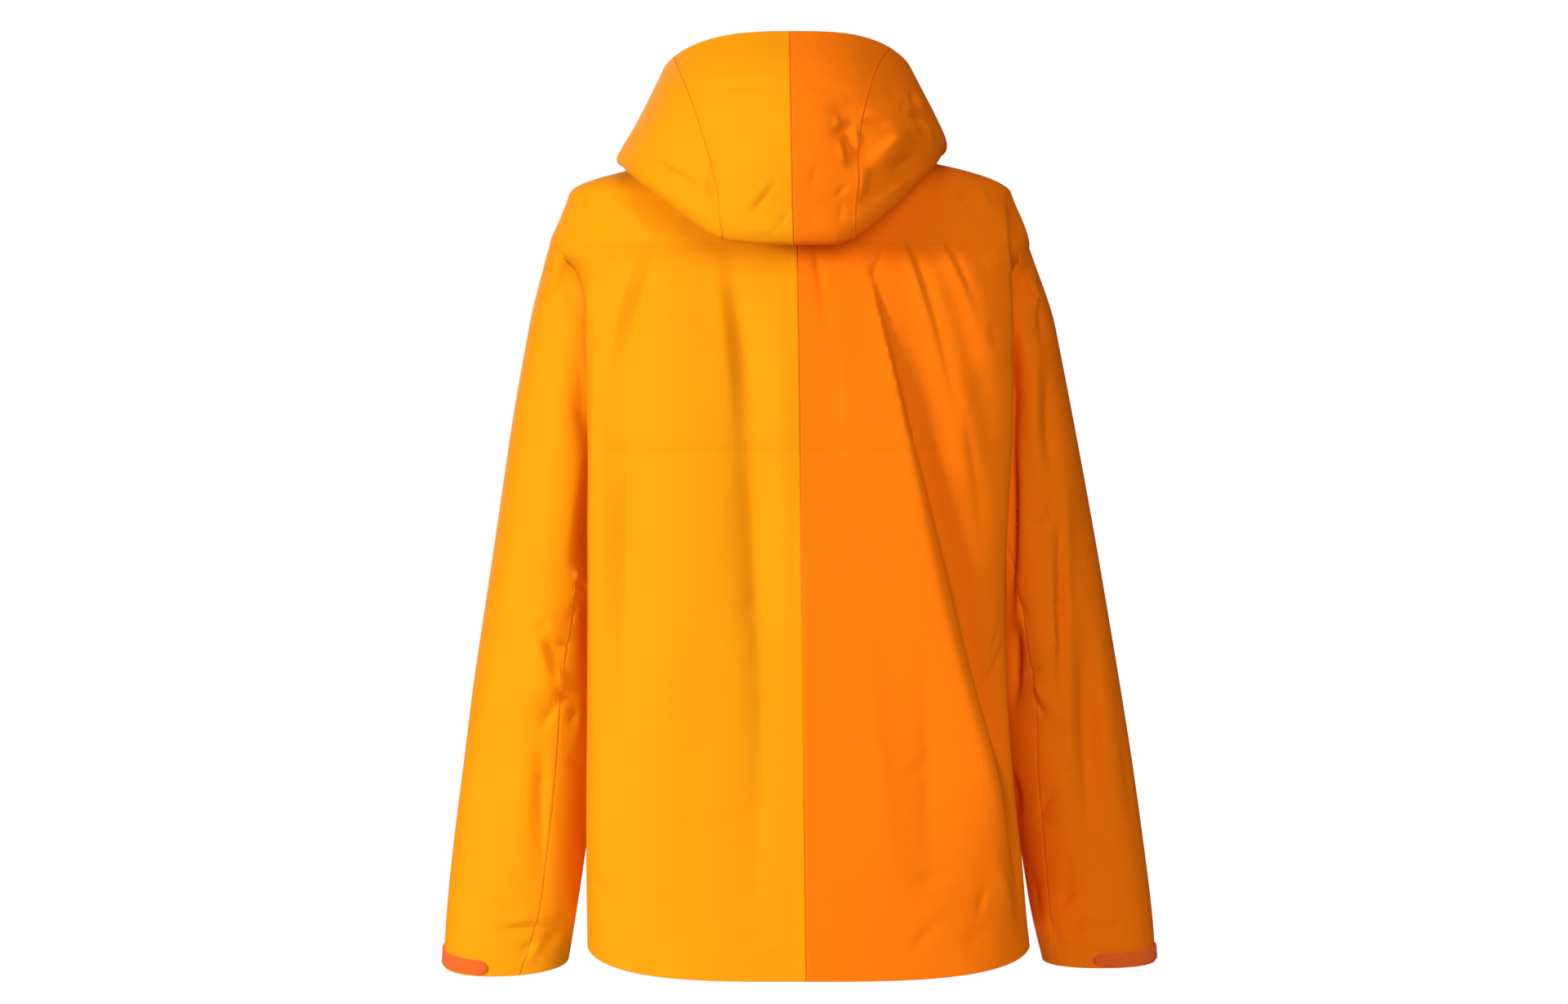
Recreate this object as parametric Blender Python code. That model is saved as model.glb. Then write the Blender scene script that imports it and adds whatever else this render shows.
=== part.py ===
"""Hooded shell jacket in two colours, filled out as if worn, modelled as its sewn panels.

Metres, +Z up. The front faces -Y and the wearer's left is +X. The origin is the middle of the
neck opening at the height of the shoulder points. Every cloth panel is a thin wall whose points
are read from one smooth surface, so that neighbouring panels meet edge to edge with a small gap.
"""
import math
from collections import namedtuple

import bmesh
import bpy
import numpy as np

# ---------------------------------------------------------------- driving sizes
CLOTH = 0.0015              # wall of the three-layer cloth
SEAM_GAP = 0.0003           # parting between two panels at a seam
ZIP_HALF_WIDTH = 0.0100     # one tape with its half of the coil
ZIP_THICKNESS = 0.0022
ZIP_END_INSET = 0.002       # tape ends short of the hem and of the face opening
ZIP_CELLS = (1, 34)
ZIP_STEP = 0.05             # rows either side over which the zip's slope is measured
STRAP_THICKNESS = 0.0020
CENTRE_BACK_LEAN = 0.0120   # sideways drift of the centre-back seam for each metre down

# The body's level curves, hem to neck. Each row is a rounded oval: its half widths on the
# wearer's left and right, where its back, its widest place and its front lie, the heights of
# its back, side and front, how square it is, and how deep the arms press it in.
BodyLevel = namedtuple("BodyLevel", "half_left half_right back widest front "
                       "z_back z_side z_front squareness arm_hollow")
BODY_LEVELS = (
    (0.196, 0.219, 0.134, 0.050, -0.150, -0.7600, -0.733, -0.700, 2.70, 0.000),   # hem
    (0.198, 0.2085, 0.132, 0.052, -0.151, -0.640, -0.628, -0.605, 2.70, 0.008),   # hip
    (0.198, 0.200, 0.130, 0.056, -0.150, -0.500, -0.497, -0.488, 2.70, 0.024),   # waist
    (0.198, 0.199, 0.131, 0.060, -0.148, -0.380, -0.380, -0.376, 2.60, 0.034),   # ribs
    (0.199, 0.200, 0.132, 0.060, -0.142, -0.270, -0.270, -0.270, 2.50, 0.036),   # underarm
    (0.200, 0.200, 0.130, 0.052, -0.131, -0.180, -0.180, -0.182, 2.40, 0.020),   # shoulder blade
    (0.205, 0.203, 0.120, 0.030, -0.117, -0.105, -0.105, -0.120, 2.70, 0.004),   # back of armhole
    (0.235, 0.221, 0.113, 0.004, -0.106, -0.076, -0.076, -0.095, 2.25, 0.000),   # top of armhole
    (0.221, 0.207, 0.100, 0.000, -0.094, -0.034, -0.033, -0.074, 2.15, 0.000),   # shoulder cap
    (0.206, 0.197, 0.092, 0.000, -0.087, -0.018, -0.017, -0.063, 2.10, 0.000),   # shoulder edge
    (0.160, 0.160, 0.084, 0.000, -0.082, -0.005, -0.003, -0.055, 2.05, 0.000),   # shoulder line
    (0.088, 0.088, 0.072, 0.000, -0.079, 0.0065, 0.0125, -0.050, 2.00, 0.000),   # neck seam
)
UNDERARM, ARMHOLE_TOP, NECK = 4, 7, 11      # row numbers in BODY_LEVELS
ARM_HOLLOW_AT = -0.030      # y of the middle of the hollow that the arm presses in
ARM_HOLLOW_WIDTH = 0.060
ARM_HOLLOW_FROM = (0.8, 1.4)    # turns (radians) over which the hollow begins behind the arm
ARM_HOLLOW_TO = (2.2, 2.9)      # and over which it has ended before the zip
SIDE_FLATNESS = 4.0         # how late a level curve leaves its back height for its side height

# The armhole as a slit that opens between the back and the front panel: for each level, the
# angle round the body (degrees from the centre back) of its rear edge and of its front edge.
ArmholeRow = namedtuple("ArmholeRow", "level rear front")
ARMHOLE = (
    (4.00, 116, 116), (4.06, 109, 123), (4.18, 104, 129), (4.40, 100, 134), (4.70, 97, 137),
    (5.00, 95, 138), (5.35, 92, 136), (5.70, 88, 133), (6.00, 84, 129), (6.30, 78, 124),
    (6.55, 72, 118), (6.78, 70, 111), (6.92, 76, 103), (7.00, 92, 92),
)
SHOULDER_SEAM_AT_NECK = 104     # degrees: the shoulder seam runs a little forward of the ridge
LOWER_ROWS = 16                 # rows of facets from the hem to the underarm
ARMHOLE_ROWS = len(ARMHOLE) - 1
SHOULDER_ROWS = 7               # rows from the top of the armhole to the neck
BODY_ROWS = LOWER_ROWS + ARMHOLE_ROWS + SHOULDER_ROWS
BACK_COLUMNS = 12
FRONT_COLUMNS = 8
BACK_EDGE_PULL = 3.0            # how close to the armhole the columns bend to follow it
FRONT_EDGE_PULL = 1.4

# Each sleeve's rings below the armhole. A ring is an oval between an inner and an outer x, a
# rear and a front y, and may tilt: its inner and outer sides have their own heights, and its
# rear may droop below them.
SleeveRing = namedtuple("SleeveRing", "x_in x_out rear front z_in z_out rear_droop")
SLEEVE_RINGS = {
    +1: (
        (0.1720, 0.2550, 0.037, -0.106, -0.292, -0.150, 0.000),    # head
        (0.1700, 0.2700, 0.042, -0.109, -0.318, -0.235, 0.000),
        (0.1720, 0.2840, 0.041, -0.109, -0.360, -0.330, 0.000),    # upper arm
        (0.1770, 0.2960, 0.037, -0.107, -0.425, -0.410, 0.000),
        (0.1830, 0.3080, 0.030, -0.101, -0.495, -0.490, 0.001),    # elbow
        (0.1900, 0.3175, 0.022, -0.096, -0.568, -0.565, 0.002),
        (0.2000, 0.3270, 0.014, -0.087, -0.642, -0.640, 0.004),
        (0.2095, 0.3335, 0.008, -0.077, -0.706, -0.705, 0.007),
        (0.2170, 0.3365, 0.005, -0.067, -0.752, -0.757, 0.012),    # cuff
    ),
    -1: (
        (0.1760, 0.2475, 0.034, -0.106, -0.290, -0.150, 0.000),
        (0.1740, 0.2640, 0.038, -0.109, -0.318, -0.235, 0.000),
        (0.1720, 0.2815, 0.041, -0.109, -0.360, -0.330, 0.000),
        (0.1770, 0.2955, 0.037, -0.107, -0.425, -0.410, 0.000),
        (0.1850, 0.3090, 0.030, -0.101, -0.495, -0.490, 0.000),
        (0.1960, 0.3210, 0.022, -0.096, -0.568, -0.565, 0.001),
        (0.2130, 0.3315, 0.014, -0.087, -0.642, -0.640, 0.002),
        (0.2240, 0.3395, 0.008, -0.077, -0.706, -0.705, 0.004),
        (0.2350, 0.3430, 0.005, -0.067, -0.753, -0.753, 0.006),
    ),
}
SLEEVE_SQUARENESS = 2.2
HEAD_EASE = 0.8             # how strongly the sleeve head leans towards the ring below it
SLEEVE_COLUMNS_ROUND = 2 * ARMHOLE_ROWS
SLEEVE_ROWS = 18

# The hood lies back as an open pouch. Its rings run from the neck seam up a low stand, out over
# the upper back to the fold at the bottom of the pouch, and up to the edge of the face opening.
# At the front the same rings climb the collar.
HoodRing = namedtuple("HoodRing", "half_left half_right back widest front "
                      "z_back z_side_left z_side_right z_front")
HOOD_RINGS = (
    (0.0905, 0.0900, 0.0800, 0.002, -0.0850, 0.0190, 0.0230, 0.0230, -0.0350),   # stand
    (0.1180, 0.1080, 0.1080, 0.012, -0.0890, 0.0080, 0.0160, 0.0190, -0.0200),   # roll
    (0.1450, 0.1260, 0.1360, 0.025, -0.0920, -0.0380, 0.0050, 0.0110, -0.0060),  # underside
    (0.1610, 0.1360, 0.1640, 0.035, -0.0945, -0.0830, -0.0010, 0.0090, 0.0050),  # bottom fold
    (0.1690, 0.1415, 0.1880, 0.040, -0.0960, -0.0590, 0.0040, 0.0150, 0.0130),
    (0.1640, 0.1400, 0.1990, 0.040, -0.0965, -0.0100, 0.0160, 0.0260, 0.0210),
    (0.1510, 0.1320, 0.1910, 0.036, -0.0970, 0.0380, 0.0380, 0.0440, 0.0290),
    (0.1370, 0.1200, 0.1650, 0.030, -0.0970, 0.0820, 0.0660, 0.0680, 0.0370),
    (0.1250, 0.1080, 0.1230, 0.022, -0.0965, 0.1190, 0.0920, 0.0920, 0.0450),    # face opening
)
HOOD_SQUARENESS = 2.15
HOOD_LAST = len(HOOD_RINGS)         # ring number of the face opening; the neck seam is ring 0
HOOD_SIDE_FLATNESS = 3.4
# The seam between the crown panel and a side panel: its distance from the middle at each ring.
CROWN_SEAM = {
    +1: (0.058, 0.059, 0.061, 0.063, 0.066, 0.071, 0.079, 0.092, 0.106, 0.1150),
    -1: (0.058, 0.058, 0.056, 0.055, 0.055, 0.054, 0.057, 0.062, 0.073, 0.0885),
}
CROWN_SEAM_SETTLED = 4      # ring from which the crown seam has left the body's column
HOOD_SEAM_DRIFT = 0.006     # how far the colour seam has moved to the left at the face opening
CROWN_COLUMNS = 5
HOOD_ROWS = 16

# The largest folds. Each runs down the cloth through three x positions (top, middle, low),
# between two heights. It stands out by its height (negative: a trough), and falls away over
# one width towards the middle of the body and over the other away from it.
Fold = namedtuple("Fold", "x_top x_middle x_low z_top z_low height width_in width_out")
BACK_FOLDS = (
    (-0.068, -0.126, -0.214, -0.085, -0.720, 0.0150, 0.050, 0.018),    # long diagonal, right
    (-0.112, -0.146, -0.168, -0.070, -0.330, 0.0060, 0.030, 0.014),
    (-0.146, -0.164, -0.180, -0.070, -0.210, 0.0045, 0.020, 0.014),
    (0.141, 0.170, 0.182, -0.060, -0.340, -0.0045, 0.018, 0.018),      # soft troughs, left
    (0.067, 0.050, 0.040, -0.070, -0.470, -0.0040, 0.024, 0.030),
    (0.120, 0.135, 0.150, -0.380, -0.760, 0.0035, 0.030, 0.026),
)
FRONT_FOLDS = (
    (0.110, 0.128, 0.150, -0.130, -0.560, 0.0060, 0.030, 0.020),
    (-0.118, -0.132, -0.160, -0.120, -0.600, 0.0070, 0.032, 0.020),
    (0.060, 0.072, 0.090, -0.300, -0.690, -0.0040, 0.022, 0.022),
    (-0.064, -0.070, -0.084, -0.260, -0.680, -0.0045, 0.022, 0.022),
)
SLEEVE_REAR_FOLDS = (
    (0.232, 0.246, 0.268, -0.140, -0.330, -0.0040, 0.016, 0.018),
    (0.244, 0.236, 0.246, -0.400, -0.520, 0.0055, 0.016, 0.020),
    (0.286, 0.300, 0.306, -0.500, -0.720, -0.0030, 0.018, 0.018),
    (-0.240, -0.244, -0.262, -0.300, -0.620, -0.0050, 0.014, 0.018),
    (-0.266, -0.276, -0.292, -0.280, -0.640, -0.0050, 0.014, 0.016),
    (-0.232, -0.236, -0.250, -0.420, -0.540, 0.0050, 0.014, 0.018),
)
SLEEVE_FRONT_FOLDS = (
    (0.226, 0.244, 0.262, -0.180, -0.420, -0.0045, 0.018, 0.018),
    (0.262, 0.250, 0.270, -0.420, -0.540, 0.0050, 0.018, 0.018),
    (-0.228, -0.248, -0.264, -0.170, -0.440, -0.0045, 0.018, 0.018),
    (-0.264, -0.252, -0.274, -0.430, -0.560, 0.0050, 0.018, 0.018),
)
HOOD_FOLDS = (
    (0.060, 0.070, 0.082, 0.020, -0.060, -0.0030, 0.016, 0.020),
    (-0.036, -0.050, -0.056, 0.060, -0.020, -0.0040, 0.014, 0.018),
    (-0.100, -0.092, -0.080, 0.070, -0.020, 0.0035, 0.016, 0.018),
)
FOLD_FADE = 0.25            # share of a fold's length over which it rises and dies away
BACK_FOLDS_END = (70, 98)       # degrees from the centre back over which the back folds die away
FRONT_FOLDS_BEGIN = (125, 150)  # and over which the front folds begin
SLEEVE_FOLDS_BEGIN = (0.1, 0.7) # how squarely the sleeve must face back or front to be folded
HOOD_FOLDS_TURN = (1.2, 1.6)    # turns (radians) over which the hood's folds die away
HOOD_FOLDS_RINGS = (4.0, 5.5, 8.0, 9.0)     # rings over which they begin, then end

# Cuff straps: where each starts on the rear of the cuff, where it ends on the front (degrees
# round the sleeve, 0 at the outer side, 90 at the rear), its middle as a ring number, half its
# height in ring numbers, and how far its rear end droops.
CuffStrap = namedtuple("CuffStrap", "rear_angle front_angle middle half_height droop")
CUFF_STRAPS = {+1: (74, -62, 8.76, 0.155, 0.04), -1: (96, -62, 8.76, 0.150, 0.02)}
STRAP_ROUND_END = 0.10      # share of its length that is rounded off at each end
STRAP_TIP = 0.12            # where on that rounding the strap's end is cut off
STRAP_CELLS = (16, 3)

# Zip slider and pull, closed at the top of the zip.
SLIDER_Z = 0.034
SLIDER_REST = -0.0970       # y of the zip's face behind the slider
SLIDER_SIZE = (0.0090, 0.0028, 0.0130)
BRIDGE_WIDTH = 0.0024
BRIDGE_SPAN = 0.0090
BRIDGE_CLEAR = 0.0032       # space under the bridge
BRIDGE_BAR = 0.0011
BRIDGE_ROOT = 0.001         # how far the bridge's feet reach into the plate
PULL_BAR = 0.0018           # thickness of the pull and of the bar that turns under the bridge
PULL_X = (-0.0036, -0.0018, 0.0018, 0.0036)
PULL_Z = (0.0009, -0.0009, -0.0082, -0.0130, -0.0360)
PULL_GRIP_HALF = 0.0042     # half width of the pull's lower end

AMBER = (0.99, 0.47, 0.011)
ORANGE = (0.99, 0.23, 0.003)
STRAP_RED = (0.77, 0.12, 0.008)
GUNMETAL = (0.06, 0.06, 0.065)
LEFT, RIGHT = +1, -1


# ---------------------------------------------------------------- reading the tables
def read_rows(table, position):
    """Smooth values of a table's columns at a fractional row number."""
    rows = np.asarray(table, float)
    last = len(rows) - 1
    position = np.clip(np.asarray(position, float), 0.0, last)
    first = np.minimum(position.astype(int), last - 1)
    f = (position - first)[..., None]
    before = rows[np.maximum(first - 1, 0)]
    here = rows[first]
    after = rows[first + 1]
    beyond = rows[np.minimum(first + 2, last)]
    return 0.5 * (2 * here + (after - before) * f
                  + (2 * before - 5 * here + 4 * after - beyond) * f ** 2
                  + (3 * here - before - 3 * after + beyond) * f ** 3)


def read_named(kind, table, position):
    """The same, as a named row."""
    return kind(*np.moveaxis(read_rows(table, position), -1, 0))


def oval_point(half, depth, squareness, turn):
    """Point of a rounded oval about its widest place; turn 0 is straight back."""
    bearing = np.arctan2(half * np.sin(turn), depth * np.cos(turn))
    radius = ((np.abs(np.sin(bearing)) / half) ** squareness
              + (np.abs(np.cos(bearing)) / depth) ** squareness) ** (-1.0 / squareness)
    return radius * np.sin(bearing), radius * np.cos(bearing)


def fold_height(folds, x, z):
    """How far the folds of a table stand out at a place seen square from front or back."""
    total = np.zeros(np.broadcast(x, z).shape)
    for fold in (Fold(*row) for row in folds):
        f = (fold.z_top - z) / (fold.z_top - fold.z_low)
        line = (fold.x_top * (1 - f) * (1 - 2 * f) + 4 * fold.x_middle * f * (1 - f)
                + fold.x_low * f * (2 * f - 1))
        away = (x - line) * np.sign(fold.x_middle)
        width = np.where(away > 0, fold.width_out, fold.width_in)
        inside = soft_step(np.minimum(f, 1 - f), 0, FOLD_FADE)
        total = total + fold.height * np.exp(-(away / width) ** 2) * inside
    return total


def soft_step(value, low, high):
    f = np.clip((value - low) / (high - low), 0, 1)
    return f * f * (3 - 2 * f)


def normals_of(surface, side, across, along, step=1e-3):
    """Outward unit normals of surface(side, across, along), where along climbs."""
    d_across = surface(side, across + step, along) - surface(side, across - step, along)
    d_along = surface(side, across, along + step) - surface(side, across, along - step)
    normal = side * np.cross(d_along, d_across)
    return normal / np.linalg.norm(normal, axis=-1, keepdims=True)


def half_of(row, side):
    """A row's half width on one side."""
    return row.half_left if side == LEFT else row.half_right


def turn_at_x(surface, side, x, along, half, centre):
    """Turn near the centre back (0) or centre front (pi) at which a surface has this x."""
    offset = np.arctan(x / half)
    for _ in range(3):
        reached = side * surface(side, np.abs(centre - offset), along)[..., 0]
        offset = offset * x / np.where(centre > 0, reached, np.sign(offset) * reached)
    return np.abs(centre - offset) if centre > 0 else offset


def seam_turn(surface, side, turn, along, step=1e-3):
    """Turn that spans half the seam gap at a place on a surface."""
    span = surface(side, turn + step, along) - surface(side, turn - step, along)
    return SEAM_GAP * step / np.linalg.norm(span, axis=-1)


# ---------------------------------------------------------------- body
def body_smooth(side, turn, level):
    """The body without folds: turn in radians from the centre back, level as a row number."""
    turn, level = np.broadcast_arrays(np.asarray(turn, float), np.asarray(level, float))
    row = read_named(BodyLevel, BODY_LEVELS, level)
    depth = np.where(np.cos(turn) > 0, row.back - row.widest, row.widest - row.front)
    x, y = oval_point(half_of(row, side), depth, row.squareness, turn)
    y = y + row.widest
    pressed = soft_step(turn, *ARM_HOLLOW_FROM) * (1 - soft_step(turn, *ARM_HOLLOW_TO))
    x = x - pressed * row.arm_hollow * np.exp(-((y - ARM_HOLLOW_AT) / ARM_HOLLOW_WIDTH) ** 2)
    z_rear = row.z_side + (row.z_back - row.z_side) * (1 - np.abs(np.sin(turn)) ** SIDE_FLATNESS)
    z_front = row.z_side + (row.z_front - row.z_side) * np.cos(turn) ** 2
    return np.stack([side * x, y, np.where(np.cos(turn) > 0, z_rear, z_front)], axis=-1)


def body_surface(side, turn, level):
    """The body with its large folds."""
    level = np.clip(level, 0, NECK)
    point = body_smooth(side, turn, level)
    x, z = point[..., 0], point[..., 2]
    rear = 1 - soft_step(turn, *np.radians(BACK_FOLDS_END))
    front = soft_step(turn, *np.radians(FRONT_FOLDS_BEGIN))
    lift = rear * fold_height(BACK_FOLDS, x, z) + front * fold_height(FRONT_FOLDS, x, z)
    return point + lift[..., None] * normals_of(body_smooth, side, turn, level)


def body_row(row):
    """Level, rear edge and front edge (radians) of a row of facets, counted up from the hem."""
    row = np.asarray(row, float)
    armhole = read_named(ArmholeRow, ARMHOLE, row - LOWER_ROWS)
    above = np.clip((row - LOWER_ROWS - ARMHOLE_ROWS) / SHOULDER_ROWS, 0, 1)
    level = np.where(row < LOWER_ROWS, UNDERARM * row / LOWER_ROWS, armhole.level)
    level = np.where(above > 0, ARMHOLE_TOP + (NECK - ARMHOLE_TOP) * above, level)
    forward = (SHOULDER_SEAM_AT_NECK - ArmholeRow(*ARMHOLE[-1]).rear) * above
    return level, np.radians(armhole.rear + forward), np.radians(armhole.front + forward)


def plain_edge(row, edge):
    """Edge that the inner columns follow: beside the armhole it runs straight up to the shoulder."""
    climbed = np.clip((row - LOWER_ROWS) / ARMHOLE_ROWS, 0, 1)
    low, high = ArmholeRow(*ARMHOLE[0]).rear, ArmholeRow(*ARMHOLE[-1]).rear
    straight = np.radians(low + (high - low) * climbed)
    return np.where((climbed > 0) & (climbed < 1), straight, edge)


def back_panel(side, u, v):
    """Turn and level of a place on a back panel: u from the centre seam out, v up."""
    row = v * BODY_ROWS
    level, rear_edge, _ = body_row(row)
    levels = read_named(BodyLevel, BODY_LEVELS, level)
    seam_x = side * CENTRE_BACK_LEAN * levels.z_back + SEAM_GAP / 2
    start = turn_at_x(body_smooth, side, seam_x, level, half_of(levels, side), 0.0)
    edge = rear_edge - seam_turn(body_smooth, side, rear_edge, level)
    plain = plain_edge(row, edge)
    return start + u * (plain - start) + (edge - plain) * u ** BACK_EDGE_PULL, level


def front_panel(side, u, v):
    """Turn and level of a place on a front panel: u from the zip out, v up."""
    row = v * BODY_ROWS
    level, _, front_edge = body_row(row)
    half = half_of(read_named(BodyLevel, BODY_LEVELS, level), side)
    start = turn_at_x(body_smooth, side, ZIP_HALF_WIDTH + SEAM_GAP, level, half, math.pi)
    edge = front_edge + seam_turn(body_smooth, side, front_edge, level)
    plain = plain_edge(row, edge)
    return start + u * (plain - start) + (edge - plain) * u ** FRONT_EDGE_PULL, level


# ---------------------------------------------------------------- sleeves
def armhole_point(side, around):
    """Place on the armhole: around 0 at the underarm, 0.5 at the shoulder, rear side first."""
    row = np.asarray(around, float) % 1.0 * SLEEVE_COLUMNS_ROUND
    rear_half = row <= ARMHOLE_ROWS
    slit = read_named(ArmholeRow, ARMHOLE, np.where(rear_half, row, SLEEVE_COLUMNS_ROUND - row))
    return body_surface(side, np.radians(np.where(rear_half, slit.rear, slit.front)), slit.level)


def armhole_spread(side):
    """Share of the way round the armhole, by length, at each row of facets."""
    steps = np.arange(SLEEVE_COLUMNS_ROUND + 1) / SLEEVE_COLUMNS_ROUND
    points = armhole_point(side, np.minimum(steps, 1 - 1e-9))
    lengths = np.linalg.norm(np.diff(points, axis=0), axis=1)
    top = ARMHOLE_ROWS
    rear = np.concatenate([[0], np.cumsum(lengths[:top])]) / lengths[:top].sum() / 2
    front = 0.5 + np.cumsum(lengths[top:]) / lengths[top:].sum() / 2
    return steps, np.concatenate([rear, front])


SPREAD = {side: armhole_spread(side) for side in (LEFT, RIGHT)}


def sleeve_angle(side, around):
    """Angle round the sleeve: pi at the inner side, pi/2 at the rear, 0 at the outer side."""
    steps, shares = SPREAD[side]
    lap = np.floor(around)
    return math.pi - 2 * math.pi * (np.interp(around - lap, steps, shares) + lap)


def ring_oval(side, ring, angle):
    """Point of a sleeve ring (0 is the head ring) at an angle."""
    row = read_named(SleeveRing, SLEEVE_RINGS[side], ring)
    half_width = (row.x_out - row.x_in) / 2
    half_depth = (row.rear - row.front) / 2
    rearward, outward = oval_point(half_depth, half_width, SLEEVE_SQUARENESS, angle)
    x = (row.x_in + row.x_out) / 2 + outward
    y = (row.rear + row.front) / 2 + rearward
    z = (row.z_in + row.z_out) / 2 + (row.z_out - row.z_in) / 2 * outward / half_width
    return np.stack([side * x, y, z - row.rear_droop * rearward / half_depth], axis=-1)


def sleeve_smooth(side, around, ring):
    """The sleeve without folds; ring 0 is the armhole and ring 1 the head ring."""
    around, ring = np.broadcast_arrays(np.asarray(around, float), np.asarray(ring, float))
    angle = sleeve_angle(side, around)
    low = ring_oval(side, ring - 1, angle)
    head = ring_oval(side, 0, angle)
    hole = armhole_point(side, around)
    leave = (head - hole) / np.linalg.norm(head - hole, axis=-1, keepdims=True)
    start = hole + SEAM_GAP * leave
    reach = head - start
    slope = HEAD_EASE * (ring_oval(side, 1, angle) - head)
    f = np.clip(ring, 0, 1)[..., None]
    upper = (start * (1 - f) ** 2 * (1 + 2 * f) + head * f ** 2 * (3 - 2 * f)
             + f * (1 - f) ** 2 * reach - f ** 2 * (1 - f) * slope)
    return np.where(ring[..., None] < 1, upper, low)


def sleeve_surface(side, around, ring):
    """The sleeve with its large folds, which start below the armhole."""
    point = sleeve_smooth(side, around, ring)
    angle = sleeve_angle(side, around)
    rear = soft_step(np.sin(angle), *SLEEVE_FOLDS_BEGIN)
    front = soft_step(-np.sin(angle), *SLEEVE_FOLDS_BEGIN)
    x, z = point[..., 0], point[..., 2]
    lift = rear * fold_height(SLEEVE_REAR_FOLDS, x, z) + front * fold_height(SLEEVE_FRONT_FOLDS, x, z)
    lift = lift * soft_step(ring, 0, 1)
    return point + lift[..., None] * sleeve_normals(side, around, ring, sleeve_smooth)


def sleeve_normals(side, around, ring, surface):
    """Outward normals of the sleeve, whose rings are counted downwards."""
    last = len(SLEEVE_RINGS[side])
    return -normals_of(lambda s, a, r: surface(s, a, np.clip(r, 0, last)), side, around, ring)


# ---------------------------------------------------------------- hood
def hood_smooth(side, turn, ring):
    """The hood without folds; ring 0 is the neck seam, set just above the body's."""
    turn, ring = np.broadcast_arrays(np.asarray(turn, float), np.asarray(ring, float))
    seam = body_smooth(side, turn, np.full(turn.shape, float(NECK))) + np.array([0, 0, SEAM_GAP])
    points = [seam]
    for row in (HoodRing(*row) for row in HOOD_RINGS):
        z_side = row.z_side_left if side == LEFT else row.z_side_right
        depth = np.where(np.cos(turn) > 0, row.back - row.widest, row.widest - row.front)
        x, y = oval_point(half_of(row, side), depth, HOOD_SQUARENESS, turn)
        rear_share = 1 - np.abs(np.sin(turn)) ** HOOD_SIDE_FLATNESS
        z = np.where(np.cos(turn) > 0, z_side + (row.z_back - z_side) * rear_share,
                     z_side + (row.z_front - z_side) * np.cos(turn) ** 2)
        points.append(np.stack([side * x, y + row.widest, z], axis=-1))
    points = np.stack(points)
    ring = np.clip(ring, 0, HOOD_LAST)
    first = np.minimum(ring.astype(int), HOOD_LAST - 1)
    f = (ring - first)[..., None]

    def pick(number):
        number = np.clip(number, 0, HOOD_LAST)
        return np.take_along_axis(points, number[None, ..., None], axis=0)[0]

    before, here, after, beyond = pick(first - 1), pick(first), pick(first + 1), pick(first + 2)
    return 0.5 * (2 * here + (after - before) * f
                  + (2 * before - 5 * here + 4 * after - beyond) * f ** 2
                  + (3 * here - before - 3 * after + beyond) * f ** 3)


def hood_surface(side, turn, ring):
    """The hood with its large folds, which lie on the outer side of the pouch."""
    ring = np.clip(ring, 0, HOOD_LAST)
    point = hood_smooth(side, turn, ring)
    outer = soft_step(ring, *HOOD_FOLDS_RINGS[:2]) * (1 - soft_step(ring, *HOOD_FOLDS_RINGS[2:]))
    outer = outer * (1 - soft_step(turn, *HOOD_FOLDS_TURN))
    lift = outer * fold_height(HOOD_FOLDS, point[..., 0], point[..., 2])
    return point + lift[..., None] * normals_of(hood_smooth, side, turn, ring)


def crown_seam_turn(side, ring):
    """Turn at which the crown seam lies on a ring."""
    table = np.asarray(CROWN_SEAM[side])[:, None]
    wanted = read_rows(table, ring)[..., 0]
    turns = np.linspace(0.0, math.pi / 2, 181)
    result = np.zeros(np.shape(wanted))
    for index, (target, level) in enumerate(zip(np.ravel(wanted), np.ravel(ring))):
        xs = np.abs(hood_smooth(side, turns, np.full(turns.shape, float(level)))[:, 0])
        result.flat[index] = np.interp(target, xs, turns)
    return result


def neck_turns(side):
    """Turns of the body's columns at the neck seam, back panel then front panel."""
    back, _ = back_panel(side, np.arange(BACK_COLUMNS + 1) / BACK_COLUMNS, np.ones(BACK_COLUMNS + 1))
    front, _ = front_panel(side, np.arange(FRONT_COLUMNS, -1, -1) / FRONT_COLUMNS,
                           np.ones(FRONT_COLUMNS + 1))
    return np.concatenate([back, front[1:]])


NECK_TURNS = {side: neck_turns(side) for side in (LEFT, RIGHT)}
SEAM_STEPS = np.linspace(0, HOOD_LAST, 41)
CROWN_SEAM_TURNS = {side: crown_seam_turn(side, SEAM_STEPS) for side in (LEFT, RIGHT)}


def hood_seam(side, ring):
    """Turn of the crown seam on a ring: at the neck it starts from a column of the body."""
    turn = np.interp(ring, SEAM_STEPS, CROWN_SEAM_TURNS[side])
    start = NECK_TURNS[side][CROWN_COLUMNS]
    return turn + (start - turn) * (1 - soft_step(ring, 0, CROWN_SEAM_SETTLED))


def hood_half(side, ring):
    """Half width of the hood at a ring."""
    rows = [BodyLevel(*BODY_LEVELS[NECK])] + [HoodRing(*row) for row in HOOD_RINGS]
    return np.interp(ring, np.arange(HOOD_LAST + 1), [half_of(row, side) for row in rows])


def spread_like(turns, u):
    """Places from 0 to 1 spaced as a list of turns is."""
    last = len(turns) - 1
    return np.interp(u * last, np.arange(last + 1), (turns - turns[0]) / (turns[-1] - turns[0]))


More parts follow.
